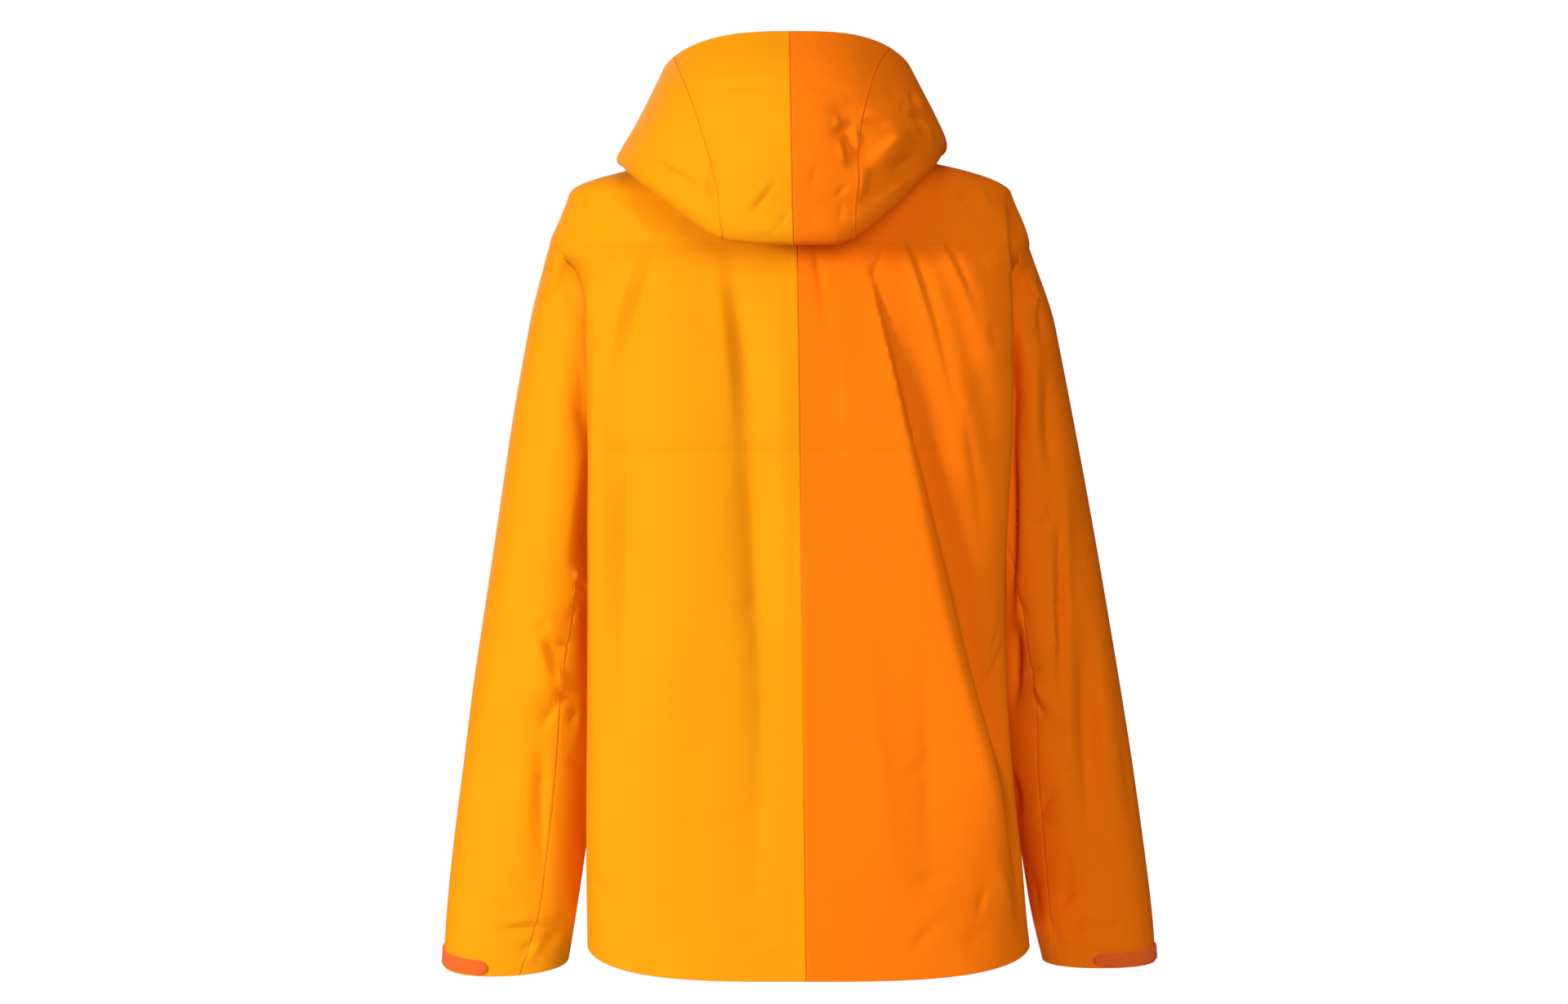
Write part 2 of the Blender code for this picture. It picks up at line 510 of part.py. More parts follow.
def crown_panel(side, u, v):
    """Turn and ring of a place on a crown panel: u from the colour seam out, v up."""
    ring = v * HOOD_LAST
    drift = side * HOOD_SEAM_DRIFT * soft_step(ring, 0, HOOD_LAST) + SEAM_GAP / 2
    middle = turn_at_x(hood_smooth, side, drift, ring, hood_half(side, ring), 0.0)
    seam = hood_seam(side, ring)
    seam = seam - seam_turn(hood_smooth, side, seam, ring)
    return middle + spread_like(NECK_TURNS[side][:CROWN_COLUMNS + 1], u) * (seam - middle), ring


def hood_side_panel(side, u, v):
    """Turn and ring of a place on a hood side: u from the crown seam to the zip, v up."""
    ring = v * HOOD_LAST
    seam = hood_seam(side, ring)
    seam = seam + seam_turn(hood_smooth, side, seam, ring)
    end = turn_at_x(hood_smooth, side, ZIP_HALF_WIDTH + SEAM_GAP, ring, hood_half(side, ring), math.pi)
    return seam + spread_like(NECK_TURNS[side][CROWN_COLUMNS:], u) * (end - seam), ring


# ---------------------------------------------------------------- making solids
def clear_scene():
    for thing in list(bpy.data.objects):
        bpy.data.objects.remove(thing, do_unlink=True)


def material(name, colour, roughness, metallic=0.0):
    made = bpy.data.materials.get(name) or bpy.data.materials.new(name)
    made.use_nodes = True
    shader = made.node_tree.nodes["Principled BSDF"]
    shader.inputs["Base Color"].default_value = (*colour, 1.0)
    shader.inputs["Roughness"].default_value = roughness
    shader.inputs["Metallic"].default_value = metallic
    return made


def finish_object(bm, name, finish):
    bmesh.ops.recalc_face_normals(bm, faces=bm.faces[:])
    mesh = bpy.data.meshes.new(name)
    bm.to_mesh(mesh)
    bm.free()
    mesh.materials.append(finish)
    mesh.shade_smooth()
    mesh.set_sharp_from_angle(angle=math.radians(40))
    made = bpy.data.objects.new(name, mesh)
    bpy.context.scene.collection.objects.link(made)
    return made


def cloth_wall(name, cells, place, finish, wall=CLOTH, closed=False):
    """A panel as a thin closed wall. place(u, v) gives its outer points and their normals."""
    bm = bmesh.new()
    inward = bm.verts.layers.float_vector.new("inward")
    bmesh.ops.create_grid(bm, x_segments=cells[0], y_segments=cells[1], size=0.5)
    u = np.array([vert.co.x + 0.5 for vert in bm.verts])
    v = np.array([vert.co.y + 0.5 for vert in bm.verts])
    points, normals = place(np.clip(u, 0, 1), np.clip(v, 0, 1))
    for vert, point, normal in zip(bm.verts, points, normals):
        vert.co = point
        vert[inward] = -wall * normal
    if closed:
        bmesh.ops.remove_doubles(bm, verts=bm.verts[:], dist=1e-6)
    bmesh.ops.triangulate(bm, faces=bm.faces[:])
    grown = bmesh.ops.extrude_face_region(bm, geom=bm.faces[:])
    for part in grown["geom"]:
        if isinstance(part, bmesh.types.BMVert):
            part.co += part[inward]
    return finish_object(bm, name, finish)


def on_surface(surface, panel, side):
    """Turns a panel's own coordinates into outer points and normals of a surface."""
    def place(u, v):
        across, along = panel(side, u, v)
        return surface(side, across, along), normals_of(surface, side, across, along)
    return place


def make_body(side, word, finish):
    cloth_wall("back_" + word, (BACK_COLUMNS, BODY_ROWS),
               on_surface(body_surface, back_panel, side), finish)
    cloth_wall("front_" + word, (FRONT_COLUMNS, BODY_ROWS),
               on_surface(body_surface, front_panel, side), finish)


def make_sleeve(side, word, finish):
    rings = len(SLEEVE_RINGS[side])

    def place(u, v):
        around = np.where(u > 1 - 1e-6, 0.0, u)
        ring = v * rings
        return sleeve_surface(side, around, ring), sleeve_normals(side, around, ring, sleeve_surface)

    cloth_wall("sleeve_" + word, (SLEEVE_COLUMNS_ROUND, SLEEVE_ROWS), place, finish, closed=True)


def make_hood(side, word, finish):
    side_columns = len(NECK_TURNS[side]) - 1 - CROWN_COLUMNS
    cloth_wall("hood_crown_" + word, (CROWN_COLUMNS, HOOD_ROWS),
               on_surface(hood_surface, crown_panel, side), finish)
    cloth_wall("hood_side_" + word, (side_columns, HOOD_ROWS),
               on_surface(hood_surface, hood_side_panel, side), finish)


def make_cuff_strap(side, word, finish):
    """A strap lies on its cuff, made from the sleeve's own points moved out."""
    strap = CuffStrap(*CUFF_STRAPS[side])
    steps = np.linspace(0, 1, 400)
    angles = np.degrees(sleeve_angle(side, steps))

    def place(u, v):
        angle = strap.rear_angle + (strap.front_angle - strap.rear_angle) * u
        around = np.interp(-angle, -angles, steps)
        from_end = np.clip(np.minimum(u, 1 - u) / STRAP_ROUND_END, STRAP_TIP, 1)
        height = strap.half_height * np.sqrt(1 - (1 - from_end) ** 2)
        ring = strap.middle + strap.droop * (1 - u) ** 2 - (2 * v - 1) * height
        normal = sleeve_normals(side, around, ring, sleeve_surface)
        return sleeve_surface(side, around, ring) + (SEAM_GAP + STRAP_THICKNESS) * normal, normal

    cloth_wall("cuff_strap_" + word, STRAP_CELLS, place, finish, wall=STRAP_THICKNESS)


def centre_front(along):
    """Point of the centre front: along 0 to NECK up the body, then up the hood's rings."""
    along = np.asarray(along, float)
    body = body_smooth(LEFT, np.full(along.shape, math.pi), np.minimum(along, NECK))
    hood = hood_smooth(LEFT, np.full(along.shape, math.pi), np.maximum(along - NECK, 0))
    return np.where((along > NECK)[..., None], hood, body)


def make_zip_tape(side, word, finish):
    """One tape of the zip with its half of the closed coil, following the centre front."""
    steps = np.linspace(0, NECK + HOOD_LAST, 400)
    path = centre_front(steps)
    lengths = np.concatenate([[0], np.cumsum(np.linalg.norm(np.diff(path, axis=0), axis=1))])

    def place(u, v):
        length = ZIP_END_INSET + v * (lengths[-1] - 2 * ZIP_END_INSET)
        along = np.interp(length, lengths, steps)
        point = centre_front(along)
        run = (centre_front(np.minimum(along + ZIP_STEP, NECK + HOOD_LAST))
               - centre_front(np.maximum(along - ZIP_STEP, 0)))
        normal = np.stack([np.zeros(len(u)), -run[:, 2], run[:, 1]], axis=-1)
        normal = normal / np.linalg.norm(normal, axis=-1, keepdims=True)
        point[:, 0] = side * (SEAM_GAP / 2 + u * (ZIP_HALF_WIDTH - SEAM_GAP / 2))
        return point, normal

    cloth_wall("zip_tape_" + word, ZIP_CELLS, place, finish, wall=ZIP_THICKNESS)


def box(name, centre, size, finish):
    bm = bmesh.new()
    bmesh.ops.create_cube(bm, size=1.0)
    bmesh.ops.scale(bm, vec=size, verts=bm.verts)
    bmesh.ops.translate(bm, vec=centre, verts=bm.verts)
    return finish_object(bm, name, finish)


def make_zip_slider(finish):
    """Slider plate with a bridge over its face, standing just clear of the closed zip."""
    wide, deep, tall = SLIDER_SIZE
    face = SLIDER_REST - SEAM_GAP - deep
    plate = box("zip_slider", (0, face + deep / 2, SLIDER_Z), SLIDER_SIZE, finish)
    rise = BRIDGE_CLEAR + BRIDGE_BAR + BRIDGE_ROOT
    bridge = box("bridge_shape", (0, face + BRIDGE_ROOT - rise / 2, SLIDER_Z),
                 (BRIDGE_WIDTH, rise, BRIDGE_SPAN), finish)
    space = box("bridge_space", (0, face - BRIDGE_CLEAR / 2, SLIDER_Z),
                (2 * BRIDGE_WIDTH, BRIDGE_CLEAR, BRIDGE_SPAN - 2 * BRIDGE_BAR), finish)
    for helper, action in ((bridge, "UNION"), (space, "DIFFERENCE")):
        helper.hide_render = True
        helper.display_type = "WIRE"
        joined = plate.modifiers.new(helper.name, "BOOLEAN")
        joined.operation = action
        joined.object = helper
        joined.solver = "EXACT"
    return face - BRIDGE_CLEAR / 2


def make_zip_pull(pivot_y, finish):
    """Flat pull with a window: the bar above the window turns under the slider's bridge."""
    bm = bmesh.new()
    columns, rows = len(PULL_X) - 1, len(PULL_Z) - 1
    bmesh.ops.create_grid(bm, x_segments=columns, y_segments=rows, size=0.5)
    window = (columns // 2, 1)
    for face in bm.faces[:]:
        middle = face.calc_center_median()
        cell = (int((middle.x + 0.5) * columns), int((0.5 - middle.y) * rows))
        if cell == window:
            bmesh.ops.delete(bm, geom=[face], context="FACES_ONLY")
    for vert in bm.verts:
        column = round((vert.co.x + 0.5) * columns)
        row = round((0.5 - vert.co.y) * rows)
        spread = PULL_GRIP_HALF / PULL_X[-1] if row == rows else 1.0
        vert.co = (PULL_X[column] * spread, pivot_y - PULL_BAR / 2, SLIDER_Z + PULL_Z[row])
    grown = bmesh.ops.extrude_face_region(bm, geom=bm.faces[:])
    moved = [part for part in grown["geom"] if isinstance(part, bmesh.types.BMVert)]
    bmesh.ops.translate(bm, vec=(0, PULL_BAR, 0), verts=moved)
    bmesh.ops.translate(bm, vec=(0, -pivot_y, -SLIDER_Z), verts=bm.verts)
    pull = finish_object(bm, "zip_pull", finish)
    pull.location = (0, pivot_y, SLIDER_Z)


def main():
    clear_scene()
    amber = material("amber_shell_cloth", AMBER, 0.75)
    orange = material("orange_shell_cloth", ORANGE, 0.75)
    strap_red = material("hook_and_loop_red", STRAP_RED, 0.95)
    gunmetal = material("gunmetal", GUNMETAL, 0.4, 0.8)
    for side, word, cloth in ((LEFT, "left", amber), (RIGHT, "right", orange)):
        make_body(side, word, cloth)
        make_sleeve(side, word, cloth)
        make_hood(side, word, cloth)
        make_zip_tape(side, word, cloth)
        make_cuff_strap(side, word, strap_red)
    pivot_y = make_zip_slider(gunmetal)
    make_zip_pull(pivot_y, gunmetal)


main()
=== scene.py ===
# %% [markdown]
# # A two-colour hooded shell jacket
# A shell jacket is cut from a stiff, matt, three-layer cloth, so it stands in a few long folds with
# sharp short creases where it is bent. Every panel here is a flat sheet of cells that is laid on a
# smooth form, creased and given its thickness. The imported model says where each panel goes.

import math
from collections import namedtuple

import bmesh
import bpy
import numpy as np
from mathutils import Matrix, Vector


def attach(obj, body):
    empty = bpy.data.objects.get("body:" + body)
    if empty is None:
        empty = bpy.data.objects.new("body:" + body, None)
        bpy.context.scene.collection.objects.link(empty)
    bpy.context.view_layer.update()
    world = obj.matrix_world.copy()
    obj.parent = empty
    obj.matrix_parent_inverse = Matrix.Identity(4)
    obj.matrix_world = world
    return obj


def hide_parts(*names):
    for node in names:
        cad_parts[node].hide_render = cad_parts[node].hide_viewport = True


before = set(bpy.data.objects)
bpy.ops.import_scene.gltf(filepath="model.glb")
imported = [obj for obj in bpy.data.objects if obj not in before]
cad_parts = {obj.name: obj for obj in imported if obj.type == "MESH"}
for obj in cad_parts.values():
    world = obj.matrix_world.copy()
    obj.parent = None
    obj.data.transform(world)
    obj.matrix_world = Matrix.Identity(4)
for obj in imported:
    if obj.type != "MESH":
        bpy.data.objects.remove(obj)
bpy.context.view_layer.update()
MM = 0.001
LEFT, RIGHT = +1, -1        # the wearer's sides; the left is +X
WORDS = {LEFT: "left", RIGHT: "right"}

# %% [markdown]
# The photograph shows the back of the jacket square on, from far enough away that the sides are
# nearly parallel. A long lens 5 m behind the jacket, level with the middle of it, gives that view.

# %% Camera
CAMERA_AT = (0.0116, 5.0, -0.317)       # behind the jacket, level with its middle
LENS, SENSOR = 121.0, 36.0              # mm
camera_data = bpy.data.cameras.new("studio_camera")
camera_data.sensor_width = SENSOR
camera_data.lens = LENS
camera_data.clip_end = 60.0
camera = bpy.data.objects.new("studio_camera", camera_data)
camera.location = CAMERA_AT
camera.rotation_euler = (math.radians(90), 0.0, math.radians(180))
bpy.context.scene.collection.objects.link(camera)
bpy.context.scene.camera = camera
print("camera", CAMERA_AT, "lens", LENS, "mm")

# %% [markdown]
# The main light comes from the viewer's left, a little above the middle, so that each fold is bright on
# its left and shaded on its right. A second stands behind the camera on the other side, a weak one
# hangs overhead and one lights the front. All are wide white panels, which keep the shadows soft.

# %% Light


def soft_light(name, place, size, power):
    """A white panel that faces the middle of the jacket."""
    data = bpy.data.lights.new(name, "AREA")
    data.shape = "RECTANGLE"
    data.size, data.size_y = size
    data.energy = power
    lamp = bpy.data.objects.new(name, data)
    lamp.location = place
    lamp.rotation_euler = (Vector(MIDDLE) - Vector(place)).to_track_quat("-Z", "Y").to_euler()
    bpy.context.scene.collection.objects.link(lamp)


MIDDLE = (0.0, 0.0, -0.35)
soft_light("key_light", (3.2, 2.33, 0.21), (0.9, 1.0), 142.0)
soft_light("fill_light", (-1.07, 3.71, 0.69), (1.8, 1.8), 88.0)
soft_light("overhead_light", (0.0, 0.70, 3.59), (2.0, 2.0), 36.0)
soft_light("front_light", (1.32, -3.63, 0.69), (2.2, 2.2), 72.0)
print("lights", len(bpy.data.lights))

# %% [markdown]
# The room is white to the eye, and gives the cloth little light of its own, so that the folds keep
# their shade. One small function adds a node to any tree, here and in every material below.

# %% Room
AMBIENT_STRENGTH = 0.06


def add_node(tree, kind, settings=(), values=(), links=()):
    """A node with its settings, its own socket values and its incoming links."""
    node = tree.nodes.new(kind)
    for name, value in dict(settings).items():
        setattr(node, name, value)
    for name, value in dict(values).items():
        node.inputs[name].default_value = value
    for name, source in dict(links).items():
        tree.links.new(source, node.inputs[name])
    return node


room = bpy.data.worlds.new("white_room")
room.use_nodes = True
room.node_tree.nodes.clear()
ambient = add_node(room.node_tree, "ShaderNodeBackground",
                   values={"Color": (1, 1, 1, 1), "Strength": AMBIENT_STRENGTH})
seen = add_node(room.node_tree, "ShaderNodeBackground", values={"Color": (1, 1, 1, 1), "Strength": 1.0})
ray = add_node(room.node_tree, "ShaderNodeLightPath")
choice = add_node(room.node_tree, "ShaderNodeMixShader",
                  links={0: ray.outputs["Is Camera Ray"], 1: ambient.outputs[0], 2: seen.outputs[0]})
add_node(room.node_tree, "ShaderNodeOutputWorld", links={"Surface": choice.outputs[0]})
bpy.context.scene.world = room
bpy.context.scene.view_settings.view_transform = "Standard"
print("room nodes", len(room.node_tree.nodes))

# %% [markdown]
# The floor is a plain pale disc where a wearer's feet would be, well below the hem.

# %% Floor
FLOOR_Z = -1.45
FLOOR_RADIUS = 1.5


def hex_colour(code):
    """An sRGB hex colour as linear red, green, blue and alpha."""
    parts = [int(code[i:i + 2], 16) / 255 for i in (0, 2, 4)]
    return (*(p / 12.92 if p <= 0.04045 else ((p + 0.055) / 1.055) ** 2.4 for p in parts), 1.0)


floor_mesh = bpy.data.meshes.new("pale_floor")
shape = bmesh.new()
bmesh.ops.create_circle(shape, cap_ends=True, segments=96, radius=FLOOR_RADIUS)
bmesh.ops.translate(shape, vec=(0, 0, FLOOR_Z), verts=shape.verts)
shape.to_mesh(floor_mesh)
shape.free()
floor_paint = bpy.data.materials.new("pale_floor_paint")
floor_paint.use_nodes = True
paint = floor_paint.node_tree.nodes["Principled BSDF"].inputs
paint["Base Color"].default_value = hex_colour("ECECEA")
paint["Roughness"].default_value = 0.9
floor_mesh.materials.append(floor_paint)
floor = bpy.data.objects.new("pale_floor", floor_mesh)
bpy.context.scene.collection.objects.link(floor)
print("floor at", FLOOR_Z)

# %% [markdown]
# The body is a stack of level curves, from the hem to the neck. Each curve is a rounded oval with
# its own half width on either side, depth, heights and squareness, all in metres. A smooth curve
# through the rows gives any level between them, which is how a cutter blends between sizes.

# %% The body's level curves
BodyLevel = namedtuple("BodyLevel", "half_left half_right back widest front "
                       "z_back z_side z_front squareness arm_hollow")
BODY_LEVELS = (
    (0.196, 0.219, 0.134, 0.050, -0.150, -0.7600, -0.733, -0.700, 2.70, 0.000),   # hem
    (0.198, 0.2085, 0.132, 0.052, -0.151, -0.640, -0.628, -0.605, 2.70, 0.008),   # hip
    (0.198, 0.200, 0.130, 0.056, -0.150, -0.500, -0.497, -0.488, 2.70, 0.024),   # waist
    (0.198, 0.199, 0.131, 0.060, -0.148, -0.380, -0.380, -0.376, 2.60, 0.034),   # ribs
    (0.199, 0.200, 0.132, 0.060, -0.142, -0.270, -0.270, -0.270, 2.50, 0.036),   # underarm
    (0.200, 0.200, 0.130, 0.052, -0.131, -0.180, -0.180, -0.182, 2.40, 0.020),   # shoulder blade
    (0.205, 0.203, 0.120, 0.030, -0.117, -0.105, -0.105, -0.120, 2.70, 0.004),   # back of armhole
    (0.235, 0.221, 0.113, 0.004, -0.106, -0.076, -0.076, -0.095, 2.25, 0.000),   # top of armhole
    (0.221, 0.207, 0.100, 0.000, -0.094, -0.034, -0.033, -0.074, 2.15, 0.000),   # shoulder cap
    (0.206, 0.197, 0.092, 0.000, -0.087, -0.018, -0.017, -0.063, 2.10, 0.000),   # shoulder edge
    (0.160, 0.160, 0.084, 0.000, -0.082, -0.005, -0.003, -0.055, 2.05, 0.000),   # shoulder line
    (0.088, 0.088, 0.072, 0.000, -0.079, 0.0065, 0.0125, -0.050, 2.00, 0.000),   # neck seam
)
ArmholeRow = namedtuple("ArmholeRow", "level rear front")   # angles in degrees from the centre back
ARMHOLE = (
    (4.00, 116, 116), (4.06, 109, 123), (4.18, 104, 129), (4.40, 100, 134), (4.70, 97, 137),
    (5.00, 95, 138), (5.35, 92, 136), (5.70, 88, 133), (6.00, 84, 129), (6.30, 78, 124),
    (6.55, 72, 118), (6.78, 70, 111), (6.92, 76, 103), (7.00, 92, 92),
)
SEAM_GAP = 0.0003           # parting between two panels at a seam
ZIP_HALF_WIDTH = 0.0100     # one tape with its half of the coil
ZIP_END_INSET = 0.002       # tape ends short of the hem and of the face opening
ZIP_STEP = 0.05             # rows either side over which the zip's slope is measured
CENTRE_BACK_LEAN = 0.0120   # sideways drift of the centre-back seam for each metre down
UNDERARM, ARMHOLE_TOP, NECK = 4, 7, 11      # row numbers in BODY_LEVELS
ARM_HOLLOW_AT = -0.030      # y of the middle of the hollow that the arm presses in
ARM_HOLLOW_WIDTH = 0.060
ARM_HOLLOW_FROM = (0.8, 1.4)    # turns (radians) over which the hollow begins behind the arm
ARM_HOLLOW_TO = (2.2, 2.9)      # and over which it has ended before the zip
SIDE_FLATNESS = 4.0         # how late a level curve leaves its back height for its side height
SHOULDER_SEAM_AT_NECK = 104     # degrees: the shoulder seam runs a little forward of the ridge
LOWER_ROWS = 16                 # rows of facets from the hem to the underarm
ARMHOLE_ROWS = len(ARMHOLE) - 1
SHOULDER_ROWS = 7               # rows from the top of the armhole to the neck
BACK_COLUMNS = 12
FRONT_COLUMNS = 8
BACK_EDGE_PULL = 3.0            # how close to the armhole the columns bend to follow it
FRONT_EDGE_PULL = 1.4


def smooth_between(before, here, after, beyond, f):
    """A smooth curve's value a share f of the way from one row to the next, with the rows around."""
    return 0.5 * (2 * here + (after - before) * f
                  + (2 * before - 5 * here + 4 * after - beyond) * f ** 2
                  + (3 * here - before - 3 * after + beyond) * f ** 3)


def read_rows(table, position):
    """Smooth values of a table's columns at a fractional row number."""
    rows = np.asarray(table, float)
    last = len(rows) - 1
    position = np.clip(np.asarray(position, float), 0.0, last)
    first = np.minimum(position.astype(int), last - 1)
    return smooth_between(rows[np.maximum(first - 1, 0)], rows[first], rows[first + 1],
                          rows[np.minimum(first + 2, last)], (position - first)[..., None])


def read_named(kind, table, position):
    """The same, as a named row."""
    return kind(*np.moveaxis(read_rows(table, position), -1, 0))


print("body levels", len(BODY_LEVELS), "armhole rows", len(ARMHOLE))

# %% [markdown]
# A point on the body is found by a turn, counted from the centre back round to the zip, and by a
# level. Behind the arms the ovals are pressed in a little, as the sleeves press the real cloth.
# A fold is a soft ridge or trough that leaves the form by a few millimetres along its own line.

# %% The body's form


def soft_step(value, low, high):
    """Eases from 0 to 1 between two values."""
    f = np.clip((value - low) / (high - low), 0, 1)
    return f * f * (3 - 2 * f)


def oval_point(half, depth, squareness, turn):
    """Point of a rounded oval about its widest place; turn 0 is straight back."""
    bearing = np.arctan2(half * np.sin(turn), depth * np.cos(turn))
    radius = ((np.abs(np.sin(bearing)) / half) ** squareness
              + (np.abs(np.cos(bearing)) / depth) ** squareness) ** (-1.0 / squareness)
    return radius * np.sin(bearing), radius * np.cos(bearing)


def normals_of(surface, side, across, along, step=1e-3):
    """Outward unit normals of surface(side, across, along), where along climbs."""
    d_across = surface(side, across + step, along) - surface(side, across - step, along)
    d_along = surface(side, across, along + step) - surface(side, across, along - step)
    normal = side * np.cross(d_along, d_across)
    return normal / np.linalg.norm(normal, axis=-1, keepdims=True)


def half_of(row, side):
    """A row's half width on one side."""
    return row.half_left if side == LEFT else row.half_right


def body_smooth(side, turn, level):
    """The body without folds: turn in radians from the centre back, level as a row number."""
    turn, level = np.broadcast_arrays(np.asarray(turn, float), np.asarray(level, float))
    row = read_named(BodyLevel, BODY_LEVELS, level)
    depth = np.where(np.cos(turn) > 0, row.back - row.widest, row.widest - row.front)
    x, y = oval_point(half_of(row, side), depth, row.squareness, turn)
    y = y + row.widest
    pressed = soft_step(turn, *ARM_HOLLOW_FROM) * (1 - soft_step(turn, *ARM_HOLLOW_TO))
    x = x - pressed * row.arm_hollow * np.exp(-((y - ARM_HOLLOW_AT) / ARM_HOLLOW_WIDTH) ** 2)
    z_rear = row.z_side + (row.z_back - row.z_side) * (1 - np.abs(np.sin(turn)) ** SIDE_FLATNESS)
    z_front = row.z_side + (row.z_front - row.z_side) * np.cos(turn) ** 2
    return np.stack([side * x, y, np.where(np.cos(turn) > 0, z_rear, z_front)], axis=-1)


print("body at the hem, straight back", body_smooth(LEFT, 0.0, 0.0).round(3))

# %% [markdown]
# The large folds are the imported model's own: each runs down the cloth through three x positions,
# between two heights, and falls away over one width towards the middle and another outwards.

# %% The large folds
Fold = namedtuple("Fold", "x_top x_middle x_low z_top z_low height width_in width_out")
BACK_FOLDS = (
    (-0.068, -0.126, -0.214, -0.085, -0.720, 0.0150, 0.050, 0.018),    # long diagonal, right
    (-0.112, -0.146, -0.168, -0.070, -0.330, 0.0060, 0.030, 0.014),
    (-0.146, -0.164, -0.180, -0.070, -0.210, 0.0045, 0.020, 0.014),
    (0.141, 0.170, 0.182, -0.060, -0.340, -0.0045, 0.018, 0.018),      # soft troughs, left
    (0.067, 0.050, 0.040, -0.070, -0.470, -0.0040, 0.024, 0.030),
    (0.120, 0.135, 0.150, -0.380, -0.760, 0.0035, 0.030, 0.026),
)
FRONT_FOLDS = (
    (0.110, 0.128, 0.150, -0.130, -0.560, 0.0060, 0.030, 0.020),
    (-0.118, -0.132, -0.160, -0.120, -0.600, 0.0070, 0.032, 0.020),
    (0.060, 0.072, 0.090, -0.300, -0.690, -0.0040, 0.022, 0.022),
    (-0.064, -0.070, -0.084, -0.260, -0.680, -0.0045, 0.022, 0.022),
)
SLEEVE_REAR_FOLDS = (
    (0.232, 0.246, 0.268, -0.140, -0.330, -0.0040, 0.016, 0.018),
    (0.244, 0.236, 0.246, -0.400, -0.520, 0.0055, 0.016, 0.020),
    (0.286, 0.300, 0.306, -0.500, -0.720, -0.0030, 0.018, 0.018),
    (-0.240, -0.244, -0.262, -0.300, -0.620, -0.0050, 0.014, 0.018),
    (-0.266, -0.276, -0.292, -0.280, -0.640, -0.0050, 0.014, 0.016),
    (-0.232, -0.236, -0.250, -0.420, -0.540, 0.0050, 0.014, 0.018),
)
SLEEVE_FRONT_FOLDS = (
    (0.226, 0.244, 0.262, -0.180, -0.420, -0.0045, 0.018, 0.018),
    (0.262, 0.250, 0.270, -0.420, -0.540, 0.0050, 0.018, 0.018),
    (-0.228, -0.248, -0.264, -0.170, -0.440, -0.0045, 0.018, 0.018),
    (-0.264, -0.252, -0.274, -0.430, -0.560, 0.0050, 0.018, 0.018),
)
HOOD_FOLDS = (
    (0.060, 0.070, 0.082, 0.020, -0.060, -0.0030, 0.016, 0.020),
    (-0.036, -0.050, -0.056, 0.060, -0.020, -0.0040, 0.014, 0.018),
    (-0.100, -0.092, -0.080, 0.070, -0.020, 0.0035, 0.016, 0.018),
)
FOLD_FADE = 0.25            # share of a fold's length over which it rises and dies away
BACK_FOLDS_END = (70, 98)       # degrees from the centre back over which the back folds die away
FRONT_FOLDS_BEGIN = (125, 150)  # and over which the front folds begin
SLEEVE_FOLDS_BEGIN = (0.1, 0.7)     # how squarely the sleeve must face back or front to be folded
HOOD_FOLDS_TURN = (1.2, 1.6)    # turns (radians) over which the hood's folds die away
HOOD_FOLDS_RINGS = (4.0, 5.5, 8.0, 9.0)     # rings over which they begin, then end


def fold_height(folds, x, z):
    """How far the folds of a table stand out at a place seen square from front or back."""
    total = np.zeros(np.broadcast(x, z).shape)
    for fold in (Fold(*row) for row in folds):
        f = (fold.z_top - z) / (fold.z_top - fold.z_low)
        line = (fold.x_top * (1 - f) * (1 - 2 * f) + 4 * fold.x_middle * f * (1 - f)
                + fold.x_low * f * (2 * f - 1))
        away = (x - line) * np.sign(fold.x_middle)
        width = np.where(away > 0, fold.width_out, fold.width_in)
        inside = soft_step(np.minimum(f, 1 - f), 0, FOLD_FADE)
        total = total + fold.height * np.exp(-(away / width) ** 2) * inside
    return total


def body_surface(side, turn, level):
    """The body with its large folds."""
    level = np.clip(level, 0, NECK)
    point = body_smooth(side, turn, level)
    x, z = point[..., 0], point[..., 2]
    rear = 1 - soft_step(turn, *np.radians(BACK_FOLDS_END))
    front = soft_step(turn, *np.radians(FRONT_FOLDS_BEGIN))
    lift = rear * fold_height(BACK_FOLDS, x, z) + front * fold_height(FRONT_FOLDS, x, z)
    return point + lift[..., None] * normals_of(body_smooth, side, turn, level)


print("large folds", len(BACK_FOLDS) + len(FRONT_FOLDS) + len(SLEEVE_REAR_FOLDS)
      + len(SLEEVE_FRONT_FOLDS) + len(HOOD_FOLDS))

# %% [markdown]
# A back panel runs from the centre-back seam to the side seam, the armhole and the shoulder seam. A
# front panel runs from the zip to the same seams. Both are addressed by u across and v up, so that
# the cells of one sheet fill the panel exactly. Near the armhole the columns bend to follow it.

# %% Where the body's panels lie
BODY_ROWS = LOWER_ROWS + ARMHOLE_ROWS + SHOULDER_ROWS


def body_row(row):
    """Level, rear edge and front edge (radians) of a row, counted up from the hem."""
    row = np.asarray(row, float)
    armhole = read_named(ArmholeRow, ARMHOLE, row - LOWER_ROWS)
    above = np.clip((row - LOWER_ROWS - ARMHOLE_ROWS) / SHOULDER_ROWS, 0, 1)
    level = np.where(row < LOWER_ROWS, UNDERARM * row / LOWER_ROWS, armhole.level)
    level = np.where(above > 0, ARMHOLE_TOP + (NECK - ARMHOLE_TOP) * above, level)
    forward = (SHOULDER_SEAM_AT_NECK - ArmholeRow(*ARMHOLE[-1]).rear) * above
    return level, np.radians(armhole.rear + forward), np.radians(armhole.front + forward)


